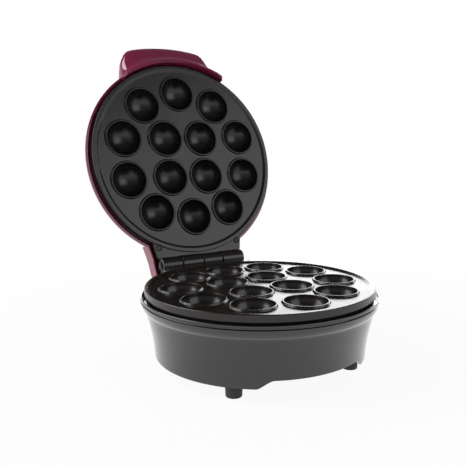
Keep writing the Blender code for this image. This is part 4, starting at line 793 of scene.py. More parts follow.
@dataclass
class CookingPlate:
    """A cast plate with its fourteen cups, its neck and its two hinge barrels."""

    name: str
    carrier: Carrier
    coat: Finish
    first_span: int
    radius: float = 114.5 * MM
    lip: float = 4.5 * MM
    slope: float = 2.0 * MM
    recess: float = 2.0 * MM
    thickness: float = 2.5 * MM
    wall: float = 3.2 * MM
    depth: float = 7.0 * MM
    cup_radius: float = 20.0 * MM
    cup_depth: float = 19.0 * MM
    cup_wall: float = 2.3 * MM
    cup_rim: float = 1.3 * MM
    cup_collar: float = 2.6 * MM
    ring_radius: float = 79.0 * MM
    back_radius: float = 72.1 * MM
    inner_offset: float = 23.5 * MM
    neck_half: float = 58.0 * MM
    neck_back_half: float = 54.0 * MM
    neck_back: float = 117.7 * MM
    neck_drop: float = 1.0 * MM
    barrel_radius: float = 9.17 * MM
    barrel_half: float = 52.2 * MM
    barrel_shares: tuple[float, ...] = (-1.0, -0.536, -0.025, 0.456, 1.0)
    barrel_gap: float = 1.2 * MM
    pin_bore: float = 2.8 * MM
    screw_bore: float = 2.0 * MM
    spot_radius: float = 3.9 * MM
    spot_depth: float = 2.0 * MM
    seam: Spot = (0.02 * MM, 0.6 * MM)
    seam_depth: float = 1.9 * MM
    post_radius: float = 4.5 * MM
    middle_post: Spot = (8.0 * MM, 18.0 * MM)
    shield_posts: tuple[float, ...] = (36.0, 144.0, 216.0, 324.0)
    shield_post_place: Spot = (97.0 * MM, 24.7 * MM)
    element_posts: tuple[float, ...] = (0.0, 180.0, 252.0, 288.0)
    element_post_place: Spot = (56.0 * MM, 12.9 * MM)
    hook_degrees: tuple[float, ...] = (243.0, 297.0)
    hook_low: Point = (107.0 * MM, -6.0 * MM, -18.8 * MM)
    hook_high: Point = (109.8 * MM, 6.0 * MM, -3.2 * MM)
    steps: int = 180
    cup_steps: int = 64

    def cup_centres(self) -> list[Spot]:
        """Return the centres of the cups: a ring whose back cup sits nearer the middle, and four inside."""
        radii = [self.back_radius] + 9 * [self.ring_radius]
        places = [polar(radius, 90.0 + 36.0 * index) for index, radius in enumerate(radii)]
        return places + [(x * self.inner_offset, y * self.inner_offset) for x in (-1, 1) for y in (-1, 1)]

    def disc(self) -> bpy.types.Object:
        """Turn the disc with its raised lip and its side wall."""
        inner = self.radius - self.wall
        disc_top = -self.recess
        corners = [
            (0.0, disc_top, 0.0),
            (self.radius - self.lip - self.slope - 0.6 * MM, disc_top, 0.7 * MM),
            (self.radius - self.lip, 0.0, 1.0 * MM),
            (self.radius, 0.0, 0.9 * MM),
            (self.radius, -self.depth, 0.3 * MM),
            (inner, -self.depth, 0.3 * MM),
            (inner, disc_top - self.thickness, 1.0 * MM),
            (0.0, disc_top - self.thickness, 0.0),
        ]
        return Bench.lathe(self.name + "_dressed", softened(corners), self.steps)

    def cup_body(self) -> bpy.types.Object:
        """Turn the outside of a cup, with the collar that stands up round its mouth."""
        outer = self.cup_radius + self.cup_wall
        bottom = self.cup_depth + self.cup_wall
        corners = [
            (0.0, 0.0, 0.0),
            (self.cup_radius + self.cup_rim, 0.0, 0.45 * MM),
            (self.cup_radius + self.cup_collar - 0.3 * MM, -self.recess + 0.1 * MM, 0.5 * MM),
            (self.cup_radius + self.cup_collar + 0.7 * MM, -self.recess - 0.05 * MM, 0.2 * MM),
            (outer, -self.recess - self.thickness, 0.5 * MM),
        ]
        outline = softened(corners, 4)
        for index in range(2, 9):
            x, y = polar(1.0, 90.0 * index / 9)
            outline.append((outer * x, -bottom * y))
        return Bench.lathe("cup_body", outline + [(0.0, -bottom)], self.cup_steps)

    def cup_hollow(self) -> bpy.types.Object:
        """Turn the inside of a cup, with the eased edge of its mouth."""
        edge = 0.5 * MM
        mouth = self.cup_radius + edge
        outline = [(0.0, OVERRUN), (mouth + 0.05 * MM, OVERRUN), (mouth, 0.0)]
        for index in range(1, 4):
            x, y = polar(edge, 90.0 + 90.0 * index / 4)
            outline.append((mouth + x, -edge + y))
        rounds = 16
        for index in range(rounds):
            x, y = polar(1.0, 90.0 * index / rounds)
            outline.append((self.cup_radius * x, -edge - (self.cup_depth - edge) * y))
        return Bench.lathe("cup_hollow", outline + [(0.0, -self.cup_depth)], self.cup_steps)

    def neck(self) -> bpy.types.Object:
        """Extrude the neck that reaches back to the hinge, and ease its upper edges."""
        reach = self.radius - self.wall / 2
        side = math.degrees(math.asin(self.neck_half / reach))
        front = [polar(reach, 90.0 + side * (1 - index / 12)) for index in range(25)]
        corner = 1.2 * MM
        rear = [
            (self.neck_back_half, self.neck_back - corner),
            (self.neck_back_half - corner, self.neck_back),
            (self.barrel_half, self.neck_back + 0.6 * MM),
            (self.barrel_half, HINGE_PLACE.y),
        ]
        plan = front + rear + [(-x, y) for x, y in reversed(rear)]
        item = Bench.prism("neck", plan, -self.depth, -self.neck_drop)

        def upper(edge: bmesh.types.BMEdge) -> bool:
            """Whether an edge runs along the neck's upper rim, clear of the disc."""
            return all(abs(end.co.z + self.neck_drop) < MERGE for end in edge.verts) and any(
                end.co.length > self.radius + MERGE and end.co.y < HINGE_PLACE.y - MERGE for end in edge.verts
            )

        return Bench.rounded_edges(item, upper, 0.5 * MM, 2)

    def spans(self, first: int) -> list[Spot]:
        """Return the x spans of every second hinge barrel, from the first one given."""
        edges = [share * self.barrel_half for share in self.barrel_shares]
        return list(zip(edges, edges[1:]))[first::2]

    def barrel(self, low: float, high: float) -> bpy.types.Object:
        """Turn a hinge barrel with eased ends."""
        low += self.barrel_gap / 2 if low > -self.barrel_half + MERGE else 0.0
        high -= self.barrel_gap / 2 if high < self.barrel_half - MERGE else 0.0
        radius, ease = self.barrel_radius, 0.6 * MM
        corners = [(0.0, low, 0.0), (radius, low, ease), (radius, high, ease), (0.0, high, 0.0)]
        return Bench.lathe("barrel", softened(corners, 4), FINE_STEPS, Axis.ACROSS, tuple(HINGE_PLACE))

    def notches(self) -> list[bpy.types.Object]:
        """Return the cutters that leave room for the other plate's barrels."""
        reach = self.barrel_radius + 0.6 * MM
        made = []
        for low, high in self.spans(1 - self.first_span):
            low -= self.barrel_gap / 2 + (OVERRUN if low < -self.barrel_half + MERGE else -FIT)
            high += self.barrel_gap / 2 + (OVERRUN if high > self.barrel_half - MERGE else -FIT)
            corner = (low, HINGE_PLACE.y - reach, -2 * reach)
            made.append(Bench.box("notch", corner, (high, HINGE_PLACE.y + 2 * reach, 2 * reach)))
        return made

    def posts(self) -> list[bpy.types.Object]:
        """Turn the posts under the plate: one in the middle, and four each for the shield and the element."""
        middle = -self.recess - self.thickness / 2
        spots = [((0.0, 0.0), *self.middle_post)]
        for (reach, depth), turns in (
            (self.shield_post_place, self.shield_posts),
            (self.element_post_place, self.element_posts),
        ):
            spots += [(polar(reach, degrees), self.post_radius, depth) for degrees in turns]
        made = []
        for (x, y), radius, depth in spots:
            outline = [(0.0, middle), (radius, middle), (radius, -depth), (0.0, -depth)]
            made.append(Bench.lathe("post", outline, POST_STEPS, Axis.UP, (x, y, 0.0)))
        return made

    def hooks(self) -> list[bpy.types.Object]:
        """Draw the hooks that hold the plate's front edge under the shell's shelf."""
        low, high = self.hook_low, self.hook_high
        return [Bench.box("hook_leg", low, high, degrees) for degrees in self.hook_degrees]

    def seam_cutter(self) -> bpy.types.Object:
        """Turn the cutter of the thin groove that sets the neck off from the disc."""
        near, far = (self.radius + reach for reach in self.seam)
        outline = [(near, -self.seam_depth), (far, -self.seam_depth), (far, OVERRUN), (near, OVERRUN)]
        return Bench.lathe("seam", outline, self.steps)

    def holes(self) -> list[bpy.types.Object]:
        """Turn the cutters of the cups, the pin's bore and the screws' spot faces."""
        hollow = self.cup_hollow()
        made = [Bench.twin(hollow, "hole", (x, y, 0.0)) for x, y in self.cup_centres()]
        bpy.data.objects.remove(hollow, do_unlink=True)
        ends = self.barrel_half + OVERRUN
        pin = [(0.0, -ends), (self.pin_bore, -ends), (self.pin_bore, ends), (0.0, ends)]
        made.append(Bench.lathe("pin_bore", pin, BORE_STEPS, Axis.ACROSS, tuple(HINGE_PLACE)))
        x, y = NECK_SCREW
        for side in (-1, 1):
            face = [(0.0, OVERRUN), (self.spot_radius, OVERRUN)]
            face += [(self.spot_radius, -self.spot_depth), (self.screw_bore, -self.spot_depth)]
            face += [(self.screw_bore, -self.depth - OVERRUN), (0.0, -self.depth - OVERRUN)]
            made.append(Bench.lathe("spot_face", face, SMALL_STEPS, Axis.UP, (side * x, y, 0.0)))
        return made

    def build(self) -> None:
        """Build the plate, turn it over for the lid, and hang it on its body."""
        item = self.disc()
        cup = self.cup_body()
        cups = [Bench.twin(cup, "cup", (x, y, 0.0)) for x, y in self.cup_centres()]
        bpy.data.objects.remove(cup, do_unlink=True)
        Bench.combine(item, cups, Join.ADD)
        Bench.combine(item, [self.neck()], Join.ADD)
        Bench.combine(item, [self.seam_cutter()], Join.CUT)
        Bench.combine(item, [self.barrel(low, high) for low, high in self.spans(self.first_span)], Join.ADD)
        Bench.combine(item, self.notches(), Join.CUT)
        Bench.combine(item, self.posts(), Join.ADD)
        Bench.combine(item, self.hooks(), Join.ADD)
        Bench.combine(item, self.holes(), Join.CUT)
        if self.carrier is Carrier.LID:
            item.data.transform(TURNED_OVER)
        Bench.tidy(item)
        Bench.finished(item, self.carrier, [self.name], self.coat, "non_stick")


# The housing of the base


@dataclass
class Housing:
    """The round base housing, with the groove and bead under its rim, its rear block and its front arch."""

    rim: float = 118.2 * MM
    bead: float = 118.6 * MM
    waist: float = 117.2 * MM
    lip_top: float = -8.6 * MM
    band: float = -10.6 * MM
    groove: float = -12.2 * MM
    wall: float = 2.3 * MM
    bottom: float = -68.8 * MM
    flank_mm: tuple[Spot, ...] = (
        (118.6, -12.8), (117.2, -17.0), (115.6, -20.0), (113.6, -23.0),
        (110.9, -33.0), (107.9, -47.0), (106.3, -59.0), (105.5, -68.8),
    )
    block_half: float = 58.0 * MM
    block_front: float = 70.0 * MM
    block_corner: float = 6.0 * MM
    shelf_top: float = -7.3 * MM
    shelf_web: float = -14.3 * MM
    neck_post: Spot = (4.2 * MM, -22.0 * MM)
    rib_half: float = 1.0 * MM
    rib_heights: Spot = (-20.0 * MM, -11.0 * MM)
    arch_radius: float = 105.5 * MM
    arch_walls: Spot = (98.0 * MM, 124.0 * MM)
    arch_degrees: float = 33.5
    arch_height: float = 8.0 * MM
    arch_sweep: float = 15.0 * MM
    stop_x: float = 40.0 * MM
    stop_half: float = 4.0 * MM
    stop_rise: float = 2.0 * MM
    inlet: Spot = (6.3 * MM, 4.3 * MM)
    steps: int = 220

    def side(self, inset: float) -> list[Spot]:
        """Return the flank from the bead down, set in by a distance."""
        return flowing([(radius * MM - inset, height * MM) for radius, height in self.flank_mm], 4)

    def block_plan(self, inset: float) -> list[Spot]:
        """Return the plan of the rear block, with rounded rear corners."""
        half, back = self.block_half - inset, BLOCK_BACK - inset
        corner = self.block_corner - inset
        outline = [(half, self.block_front)]
        for index in range(9):
            x, y = polar(corner, 90.0 * index / 8)
            outline.append((half - corner + x, back - corner + y))
        return outline + [(-x, y) for x, y in reversed(outline)]

    def arch(self) -> bpy.types.Object:
        """Return the cutter of the shallow front arch, whose ends sweep down to the lower edge."""
        radius, sweep = self.arch_radius, self.arch_sweep
        half = math.radians(self.arch_degrees) * radius
        runs = [sweep * index / 14 for index in range(15)]
        runs += [sweep + (half - sweep) * index / 12 for index in range(1, 13)]
        columns = [(-(half - run) / radius, run) for run in runs]
        columns += [(-angle, run) for angle, run in reversed(columns[:-1])]
        sections = []
        for angle, run in columns:
            share = min(run / sweep, 1.0)
            lift = self.arch_height * (0.45 * share + 0.55 * share * share * (3.0 - 2.0 * share)) ** 0.9
            top = self.bottom + max(lift, FIT)
            low = self.bottom - OVERRUN
            near, far = self.arch_walls
            ring = [(near, low), (far, low), (far, top), (near, top)]
            sections.append([(reach * math.sin(angle), -reach * math.cos(angle), z) for reach, z in ring])
        return Bench.skin("arch", sections)

    def stops(self) -> list[bpy.types.Object]:
        """Draw the two ribs on the back that the open lid rests on."""
        angle = -math.radians(LID_OPEN_DEGREES)
        y, z = LID_BACK - HINGE_PLACE.y, LID_RIM - HINGE_PLACE.z
        tip = HINGE_PLACE.y + y * math.cos(angle) - z * math.sin(angle)
        level = HINGE_PLACE.z + y * math.sin(angle) + z * math.cos(angle)

        def outer(edge: bmesh.types.BMEdge) -> bool:
            """Whether an edge lies behind the block's back."""
            return all(end.co.y > BLOCK_BACK for end in edge.verts)

        made = []
        for middle in (-self.stop_x, self.stop_x):
            low = (middle - self.stop_half, BLOCK_BACK - self.wall / 2, level - self.stop_rise)
            rib = Bench.box("stop", low, (middle + self.stop_half, tip - FIT, level + self.stop_rise))
            made.append(Bench.rounded_edges(rib, outer, 0.5 * MM))
        return made

    def drum(self) -> bpy.types.Object:
        """Turn the round outside, solid, with its rim, groove, bead and eased lower edge."""
        corners = [
            (0.0, self.lip_top, 0.0),
            (self.rim, self.lip_top, 0.5 * MM),
            (self.rim, self.band, 0.4 * MM),
            (self.waist, self.band - 0.3 * MM, 0.2 * MM),
            (self.waist, self.groove, 0.2 * MM),
            (self.bead - 0.5 * MM, self.groove - 0.15 * MM, 0.3 * MM),
        ]
        outline = softened(corners, 4) + self.side(0.0)
        foot, low = outline[-1][0], self.bottom
        outline[-1] = (foot, low + 0.5 * MM)
        outline += [(foot - 0.15 * MM, low + 0.15 * MM), (foot - 0.5 * MM, low), (0.0, low)]
        return Bench.lathe("base_housing_dressed", outline, self.steps)

    def block(self) -> bpy.types.Object:
        """Extrude the rear block, solid, and round its upper and lower edges."""
        item = Bench.prism("block", self.block_plan(0.0), self.bottom, self.lip_top)

        def rear_rim(edge: bmesh.types.BMEdge) -> bool:
            """Whether an edge runs along the block's upper or lower rim."""
            level = {round(end.co.z, 5) for end in edge.verts}
            return len(level) == 1 and any(end.co.y > self.block_front + MERGE for end in edge.verts)

        return Bench.rounded_edges(item, rear_rim, 0.6 * MM, 3)

    def drum_hollow(self) -> bpy.types.Object:
        """Turn the round inside, with the seat that the plate's lip stands over."""
        seat, mouth = self.rim - self.wall, self.rim - 1.0 * MM
        top, low = self.lip_top + OVERRUN, self.bottom - OVERRUN
        outline = [(0.0, top), (mouth, top), (mouth, self.band + 1.0 * MM)]
        outline += [(seat, self.band), (seat, self.groove)] + self.side(self.wall)[2:]
        outline += [(outline[-1][0], low), (0.0, low)]
        return Bench.lathe("hollow", outline, self.steps)

    def block_hollow(self) -> bpy.types.Object:
        """Extrude the inside of the rear block."""
        plan = self.block_plan(self.wall)
        return Bench.prism("block_hollow", plan, self.bottom - OVERRUN, self.lip_top + OVERRUN)

    def shelf(self) -> bpy.types.Object:
        """Turn the shelf that carries the plate, a lip on a web from the wall."""
        near, far = SHELF_REACH
        wall = self.rim - self.wall + self.wall / 4
        top, web, under = self.shelf_top, self.shelf_web, self.shelf_web - SHELF_THICKNESS
        outline = [(near, top), (far, top), (far, web), (wall, web), (wall, under), (near, under)]
        return Bench.lathe("shelf", outline, self.steps)

    def neck_posts(self) -> list[bpy.types.Object]:
        """Turn the two posts that the plate's neck is screwed to."""
        (radius, foot), (x, y) = self.neck_post, NECK_SCREW
        outline = [(0.0, foot), (radius, foot), (radius, self.shelf_top), (0.0, self.shelf_top)]
        places = [(side * x, y, 0.0) for side in (-1, 1)]
        return [Bench.lathe("neck_post", outline, POST_STEPS, Axis.UP, place) for place in places]

    def ribs(self) -> list[bpy.types.Object]:
        """Draw the two ribs that join those posts to the block's sides."""
        (x, y), (low, high) = NECK_SCREW, self.rib_heights
        made = []
        for side in (-1, 1):
            left, right = sorted((side * x, side * (self.block_half - self.wall / 2)))
            made.append(Bench.box("rib", (left, y - self.rib_half, low), (right, y + self.rib_half, high)))
        return made

    def inlet_hole(self) -> bpy.types.Object:
        """Turn the cutter of the bush's hole in the back."""
        radius, depth = self.inlet
        bore = [(0.0, -depth), (radius, -depth), (radius, OVERRUN), (0.0, OVERRUN)]
        return Bench.lathe("inlet", bore, FINE_STEPS, Axis.BACK, (0.0, BLOCK_BACK, -BUSH_DROP))

    def build(self) -> None:
        """Build the housing and hang it on the base."""
        item = self.drum()
        Bench.combine(item, [self.block()], Join.ADD)
        Bench.combine(item, [self.drum_hollow()], Join.CUT)
        Bench.combine(item, [self.block_hollow()], Join.CUT)
        Bench.combine(item, [self.shelf()], Join.ADD)
        Bench.combine(item, self.neck_posts(), Join.ADD)
        Bench.combine(item, self.ribs(), Join.ADD)
        Bench.combine(item, self.stops(), Join.ADD)
        Bench.combine(item, [self.inlet_hole()], Join.CUT)
        Bench.combine(item, [self.arch()], Join.CUT)
        Bench.tidy(item)
        Bench.finished(item, Carrier.BASE, ["base_housing"], BODY_BLACK, "body_black")


# The lid


@dataclass
class LidShell:
    """The burgundy lid: its dome, the brow and handle at its front, and the box over the hinge."""

    radius: float = 119.8 * MM
    height: float = 41.3 * MM
    wall: float = 2.4 * MM
    dome: tuple[Spot, ...] = (
        (1.0, 0.0), (0.996, 0.12), (0.985, 0.25), (0.955, 0.46),
        (0.90, 0.65), (0.80, 0.80), (0.63, 0.91), (0.38, 0.98),
    )
    brow_inner: float = 116.2 * MM
    brow_radius: float = 118.6 * MM
    brow_drop: float = 8.0 * MM
    brow_degrees: float = 33.5
    brow_corner: float = 8.0 * MM
    handle_reach: float = 145.0 * MM
    handle_half: float = 63.4 * MM
    handle_plan: tuple[Spot, ...] = (
        (0.0, 1.0), (0.35, 0.993), (0.66, 0.972), (0.79, 0.948), (0.87, 0.90), (0.94, 0.834), (1.0, 0.69),
    )
    under_shares: tuple[Spot, ...] = ((0.0, 0.0), (0.03, 0.035), (0.20, 0.25), (0.39, 0.39))
    band_shares: tuple[Spot, ...] = ((0.39, 0.39), (0.80, 0.56), (1.0, 0.70), (0.95, 0.80), (0.45, 0.90))
    hollow_shares: tuple[Spot, ...] = ((0.30, 0.50), (0.70, 0.64), (0.84, 0.72), (0.78, 0.78), (0.42, 0.84))
    handle_top: float = 33.0 * MM
    handle_root: float = 100.0 * MM
    hollow_degrees: float = 27.0
    tail_front_half: float = 61.5 * MM
    tail_back_half: float = 55.5 * MM
    tail_front: float = 100.0 * MM
    tail_top: float = 28.0 * MM
    tail_shares: tuple[Spot, ...] = ((1.0, 0.0), (0.30, 0.48), (0.0, 0.88), (-0.55, 1.0))
    shelf_top: float = 7.7 * MM
    shelf_web: float = 14.7 * MM
    lens_bore: float = 4.3 * MM
    lens_bore_heights: Spot = (28.2 * MM, 45.0 * MM)
    steps: int = 220
    reach_table: list[Spot] = field(default_factory=list)

    def profile(self) -> list[Spot]:
        """Return the dome's outline from its rim to its top."""
        rise = self.height - LID_RIM
        points = [(self.radius * wide, LID_RIM + rise * high) for wide, high in self.dome]
        return [(max(radius, 0.0), height) for radius, height in flowing(points + [(0.0, self.height)], 5)]

    def reach(self, angle: float) -> float:
        """Return how far the handle's plan reaches at an angle from the front."""
        if not self.reach_table:
            half = [(self.handle_half * wide, self.handle_reach * deep) for wide, deep in self.handle_plan]
            whole = [(-x, y) for x, y in reversed(half[1:])] + half
            spots = flowing(whole, 8)
            self.reach_table = [(math.atan2(x, y), math.hypot(x, y)) for x, y in spots]
        for (near, before), (far, after) in zip(self.reach_table, self.reach_table[1:]):
            if near <= angle <= far:
                return before + (after - before) * (angle - near) / (far - near)
        return self.brow_radius

    def columns(self) -> list[Spot]:
        """Return (angle, lift of the lower edge) along the brow, from end to end."""
        corner = self.brow_corner
        half = math.radians(self.brow_degrees) * self.brow_radius
        runs = [corner * (1 - math.cos(math.radians(9.0 * index))) for index in range(10)]
        runs += [corner + (half - corner) * index / 22 for index in range(1, 23)]
        left = []
        for run in runs:
            inside = max(corner - run, 0.0)
            lift = corner - math.sqrt(corner * corner - inside * inside)
            left.append((-(half - run) / self.brow_radius, lift))
        return left + [(-angle, lift) for angle, lift in reversed(left[:-1])]

    def handle(self) -> bpy.types.Object:
        """Skin the brow and the handle, from the brow's rounded lower edge up to the dome."""
        under = flowing(self.under_shares, 4)
        band = flowing(self.band_shares, 5)[1:]
        sections = []
        for angle, lift in self.columns():
            low = -self.brow_drop + lift
            reach, rise = self.reach(angle) - self.brow_radius, self.handle_top - low
            ring = [(self.brow_inner, low + 0.4 * MM), (self.brow_inner + 0.4 * MM, low)]
            ring += [(self.brow_radius + reach * wide, low + rise * high) for wide, high in under + band]
            ring += [(self.handle_root, self.handle_top), (self.handle_root, LID_RIM + OVERRUN)]
            ring += [(self.brow_inner, LID_RIM + OVERRUN)]
            sections.append([(radius * math.sin(angle), -radius * math.cos(angle), z) for radius, z in ring])
        return Bench.skin("handle", sections)

    def handle_hollow(self) -> bpy.types.Object:
        """Skin the hollow inside the handle."""
        root = self.handle_root + OVERRUN
        sections = []
        for index in range(25):
            angle = math.radians(self.hollow_degrees * (index / 12 - 1))
            reach = self.reach(angle) - self.brow_radius
            spots = [
                (self.brow_radius + reach * wide, -self.brow_drop + (self.handle_top + self.brow_drop) * high)
                for wide, high in self.hollow_shares
            ]
            spots = [(root, spots[0][1])] + spots + [(root, spots[-1][1])]
            sections.append([(radius * math.sin(angle), -radius * math.cos(angle), z) for radius, z in spots])
        return Bench.skin("handle_hollow", sections)

    def tail(self, inset: float, low: float) -> bpy.types.Object:
        """Extrude the rear box, full size or set in by the wall, and round its upper edges."""
        length = LID_BACK - self.tail_front - inset
        step = self.tail_front_half - self.tail_back_half
        half = [
            (self.tail_back_half + step * wide - inset, self.tail_front + length * deep)
            for wide, deep in flowing(self.tail_shares, 4)
        ]
        top = self.tail_top - inset
        item = Bench.prism("tail", half + [(-x, y) for x, y in reversed(half)], low, top)

        def upper(edge: bmesh.types.BMEdge) -> bool:
            """Whether an edge runs round the box's top, clear of its front."""
            level = all(abs(end.co.z - top) < MERGE for end in edge.verts)
            return level and any(end.co.y > self.tail_front + MERGE for end in edge.verts)

        return Bench.rounded_edges(item, upper, 5.0 * MM, 6)

    def cap(self) -> bpy.types.Object:
        """Turn the dome, solid, with its eased lower edge."""
        outer = self.profile()
        wide = outer[0][0]
        edge = [(0.0, LID_RIM), (wide - 0.5 * MM, LID_RIM), (wide - 0.1 * MM, LID_RIM + 0.25 * MM)]
        return Bench.lathe("lid_cover_dressed", edge + outer[1:], self.steps)

    def cap_hollow(self) -> bpy.types.Object:
        """Turn the inside of the dome."""
        scale = (self.radius - self.wall) / self.radius
        inner = [(radius * scale, height - self.wall) for radius, height in self.profile()]
        hollow = [(0.0, LID_RIM - OVERRUN), (inner[0][0], LID_RIM - OVERRUN)] + inner[1:]
        return Bench.lathe("dome_hollow", hollow, self.steps)

    def shelf(self) -> bpy.types.Object:
        """Turn the shelf that carries the upper plate, a lip on a web from the wall."""
        near, far = SHELF_REACH
        wall = self.radius - self.wall + self.wall / 4
        top, web, over = self.shelf_top, self.shelf_web, self.shelf_web + SHELF_THICKNESS
        outline = [(near, top), (near, over), (wall, over), (wall, web), (far, web), (far, top)]
        return Bench.lathe("shelf", outline, self.steps)

    def lens_holes(self) -> list[bpy.types.Object]:
        """Turn the cutters of the two lenses' holes."""
        (x, y), (low, high), radius = LENS_PLACE, self.lens_bore_heights, self.lens_bore
        bore = [(0.0, low), (radius, low), (radius, high), (0.0, high)]
        return [Bench.lathe("lamp_hole", bore, SMALL_STEPS, Axis.UP, (side * x, y, 0.0)) for side in (-1, 1)]

    def build(self) -> None:
        """Build the lid's shell and hang it on the lid."""
        item = self.cap()
        Bench.combine(item, [self.handle()], Join.ADD)
        Bench.combine(item, [self.tail(0.0, LID_RIM)], Join.ADD)
        Bench.combine(item, [self.cap_hollow()], Join.CUT)
        Bench.combine(item, [self.tail(self.wall, LID_RIM - OVERRUN)], Join.CUT)
        Bench.combine(item, [self.handle_hollow()], Join.CUT)
        Bench.combine(item, [self.shelf()], Join.ADD)
        Bench.combine(item, self.lens_holes(), Join.CUT)
        Bench.tidy(item)
        Bench.finished(item, Carrier.LID, ["lid_cover"], LID_BURGUNDY, "lid_burgundy", 28.0)


@dataclass
class IndicatorLens:
    """A domed indicator lens with a collar, through the lid's dome."""

    node: str
    side: int
    coat: Finish
    slot: str
    radius: float = 4.0 * MM
    dome: float = 1.6 * MM
    box_margin: float = 1.6 * MM
    collar: Spot = (5.4 * MM, 1.4 * MM)
    seat: float = 33.4 * MM

    def build(self) -> None:
        """Build the lens and hang it on the lid.

        Its top comes from the box of its CAD node. That box is upright in the scene, where the lid leans,
        so it reaches past the lens by the margin.
        """
        low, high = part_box(self.node)
        back = Carrier.LID.place.inverted()
        corners = [back @ Vector(corner) for corner in product(*zip(low, high))]
        (x, y), (flange, thick) = LENS_PLACE, self.collar
        top = max(corner.z for corner in corners) - self.box_margin
        shoulder = top - self.dome
        outline = [(0.0, self.seat - thick), (flange, self.seat - thick), (flange, self.seat)]
        outline += [(self.radius, self.seat), (self.radius, shoulder)]
        for index in range(1, 8):
            across, up = polar(1.0, 90.0 * index / 8)
            outline.append((self.radius * across, shoulder + self.dome * up))
        place = (self.side * x, y, 0.0)
        item = Bench.lathe(self.node + "_dressed", outline + [(0.0, top)], SMALL_STEPS, Axis.UP, place)
        Bench.finished(item, Carrier.LID, [self.node], self.coat, self.slot)


# Small pieces


@dataclass
class CrossScrew:
    """A pan-head screw with a cross recess, seated in a spot face of a plate's neck."""

    node: str
    carrier: Carrier
    side: int
    radius: float = 3.4 * MM
    height: float = 1.6 * MM
    shank: float = 1.7 * MM
    length: float = 16.0 * MM
    seat: float = -2.0 * MM
    recess_half: float = 0.5 * MM
    recess_depth: float = 0.9 * MM
    recess_degrees: float = 35.0

    def build(self) -> None:
        """Build the screw and hang it on its body."""
        corners = [
            (0.0, self.height, 0.0),
            (self.radius * 0.75, self.height, 0.6 * MM),
            (self.radius, self.height * 0.3, 0.3 * MM),
            (self.radius, 0.0, 0.1 * MM),
            (self.shank, 0.0, 0.1 * MM),
            (self.shank, -self.length, 0.3 * MM),
            (0.0, -self.length, 0.0),
        ]
        item = Bench.lathe(self.node + "_dressed", softened(corners, 4), SMALL_STEPS)
        reach, half = self.radius * 0.62, self.recess_half
        low, high = self.height - self.recess_depth, self.height + OVERRUN
        arms = [
            Bench.box("arm", (-reach, -half, low), (reach, half, high), self.recess_degrees),
            Bench.box("arm", (-half, -reach, low), (half, reach, high), self.recess_degrees),
        ]
        Bench.combine(item, arms, Join.CUT, crossing=True)
        x, y = NECK_SCREW
        item.data.transform(Matrix.Translation((self.side * x, y, self.seat)))
        if self.carrier is Carrier.LID:
            item.data.transform(TURNED_OVER)
        Bench.tidy(item)
        Bench.finished(item, self.carrier, [self.node], BLACK_STEEL, "steel")


@dataclass
class Foot:
    """A rubber foot with a rounded sole and a small dimple under it."""

    node: str
    x: float
    y: float
    radius: float = 7.5 * MM
    top_radius: float = 8.5 * MM
    stem: float = 3.0 * MM
    barb: Spot = (4.2 * MM, 1.5 * MM)
    dimple: Spot = (3.2 * MM, 0.8 * MM)
    floor: float = -82.0 * MM
    seat: float = -60.3 * MM
    head: float = -57.7 * MM

    def build(self) -> None:
        """Build the foot and hang it on the base."""
        floor, seat, head = self.floor, self.seat, self.head
        (barb, rise), (dimple, deep) = self.barb, self.dimple
        corners = [
            (0.0, floor + deep, 0.0),
            (dimple - deep, floor + deep, 0.4 * MM),
            (dimple, floor, 0.4 * MM),
            (self.radius, floor, 1.4 * MM),
            (self.radius + 0.35 * MM, floor + 9.0 * MM, 0.0),
            (self.top_radius, seat, 0.4 * MM),
            (self.stem, seat, 0.0),
            (self.stem, head, 0.0),
            (barb, head, 0.2 * MM),
            (self.stem, head + rise, 0.3 * MM),
            (0.0, head + rise, 0.0),
        ]
        place = (self.x, self.y, 0.0)
        item = Bench.lathe(self.node + "_dressed", softened(corners), FINE_STEPS, Axis.UP, place)
        Bench.finished(item, Carrier.BASE, [self.node], RUBBER, "rubber")


@dataclass
class CordBush:
    """The rubber bush in the back of the housing."""

    bore: float = 3.6 * MM
    waist: float = 6.0 * MM
    flange: float = 8.6 * MM
    nose: float = 7.0 * MM
    seats: Spot = (0.3 * MM, -2.6 * MM)
    ends: Spot = (2.5 * MM, -4.8 * MM)

    def build(self) -> None:
        """Build the bush and hang it on the base."""
        (outer_seat, inner_seat), (outer_end, inner_end) = self.seats, self.ends
        corners = [
            (self.bore, outer_end, 0.4 * MM),
            (self.nose, outer_end, 0.6 * MM),
            (self.flange, 1.4 * MM, 0.5 * MM),
            (self.flange, outer_seat, 0.1 * MM),
            (self.waist, outer_seat, 0.0),
            (self.waist, inner_seat, 0.0),
            (self.flange, inner_seat, 0.2 * MM),
            (self.waist, inner_end, 0.3 * MM),
            (self.bore, inner_end, 0.2 * MM),
        ]
        place = (0.0, BLOCK_BACK, -BUSH_DROP)
        item = Bench.lathe("cord_bush_dressed", softened(corners), FINE_STEPS, Axis.BACK, place)
        Bench.finished(item, Carrier.BASE, ["cord_bush"], RUBBER, "rubber")


@dataclass
class HingePin:
    """The steel pin through the four barrels, with eased ends and ring grooves."""

    radius: float = 2.5 * MM
    half: float = 54.1 * MM
    groove_radius: float = 1.9 * MM
    groove: Spot = (52.5 * MM, 53.7 * MM)

    def build(self) -> None:
        """Build the pin and hang it on the base."""
        near, far = self.groove
        side = [(0.0, self.half, 0.0), (self.radius, self.half, 0.3 * MM), (self.radius, far, 0.0)]
        side += [(self.groove_radius, far, 0.0), (self.groove_radius, near, 0.0), (self.radius, near, 0.0)]
        corners = side + [(radius, -height, ease) for radius, height, ease in reversed(side)]
        place = tuple(HINGE_PLACE)
        item = Bench.lathe("hinge_pin_dressed", softened(corners), SMALL_STEPS, Axis.ACROSS, place)
        Bench.finished(item, Carrier.BASE, ["hinge_pin"], BLACK_STEEL, "steel")


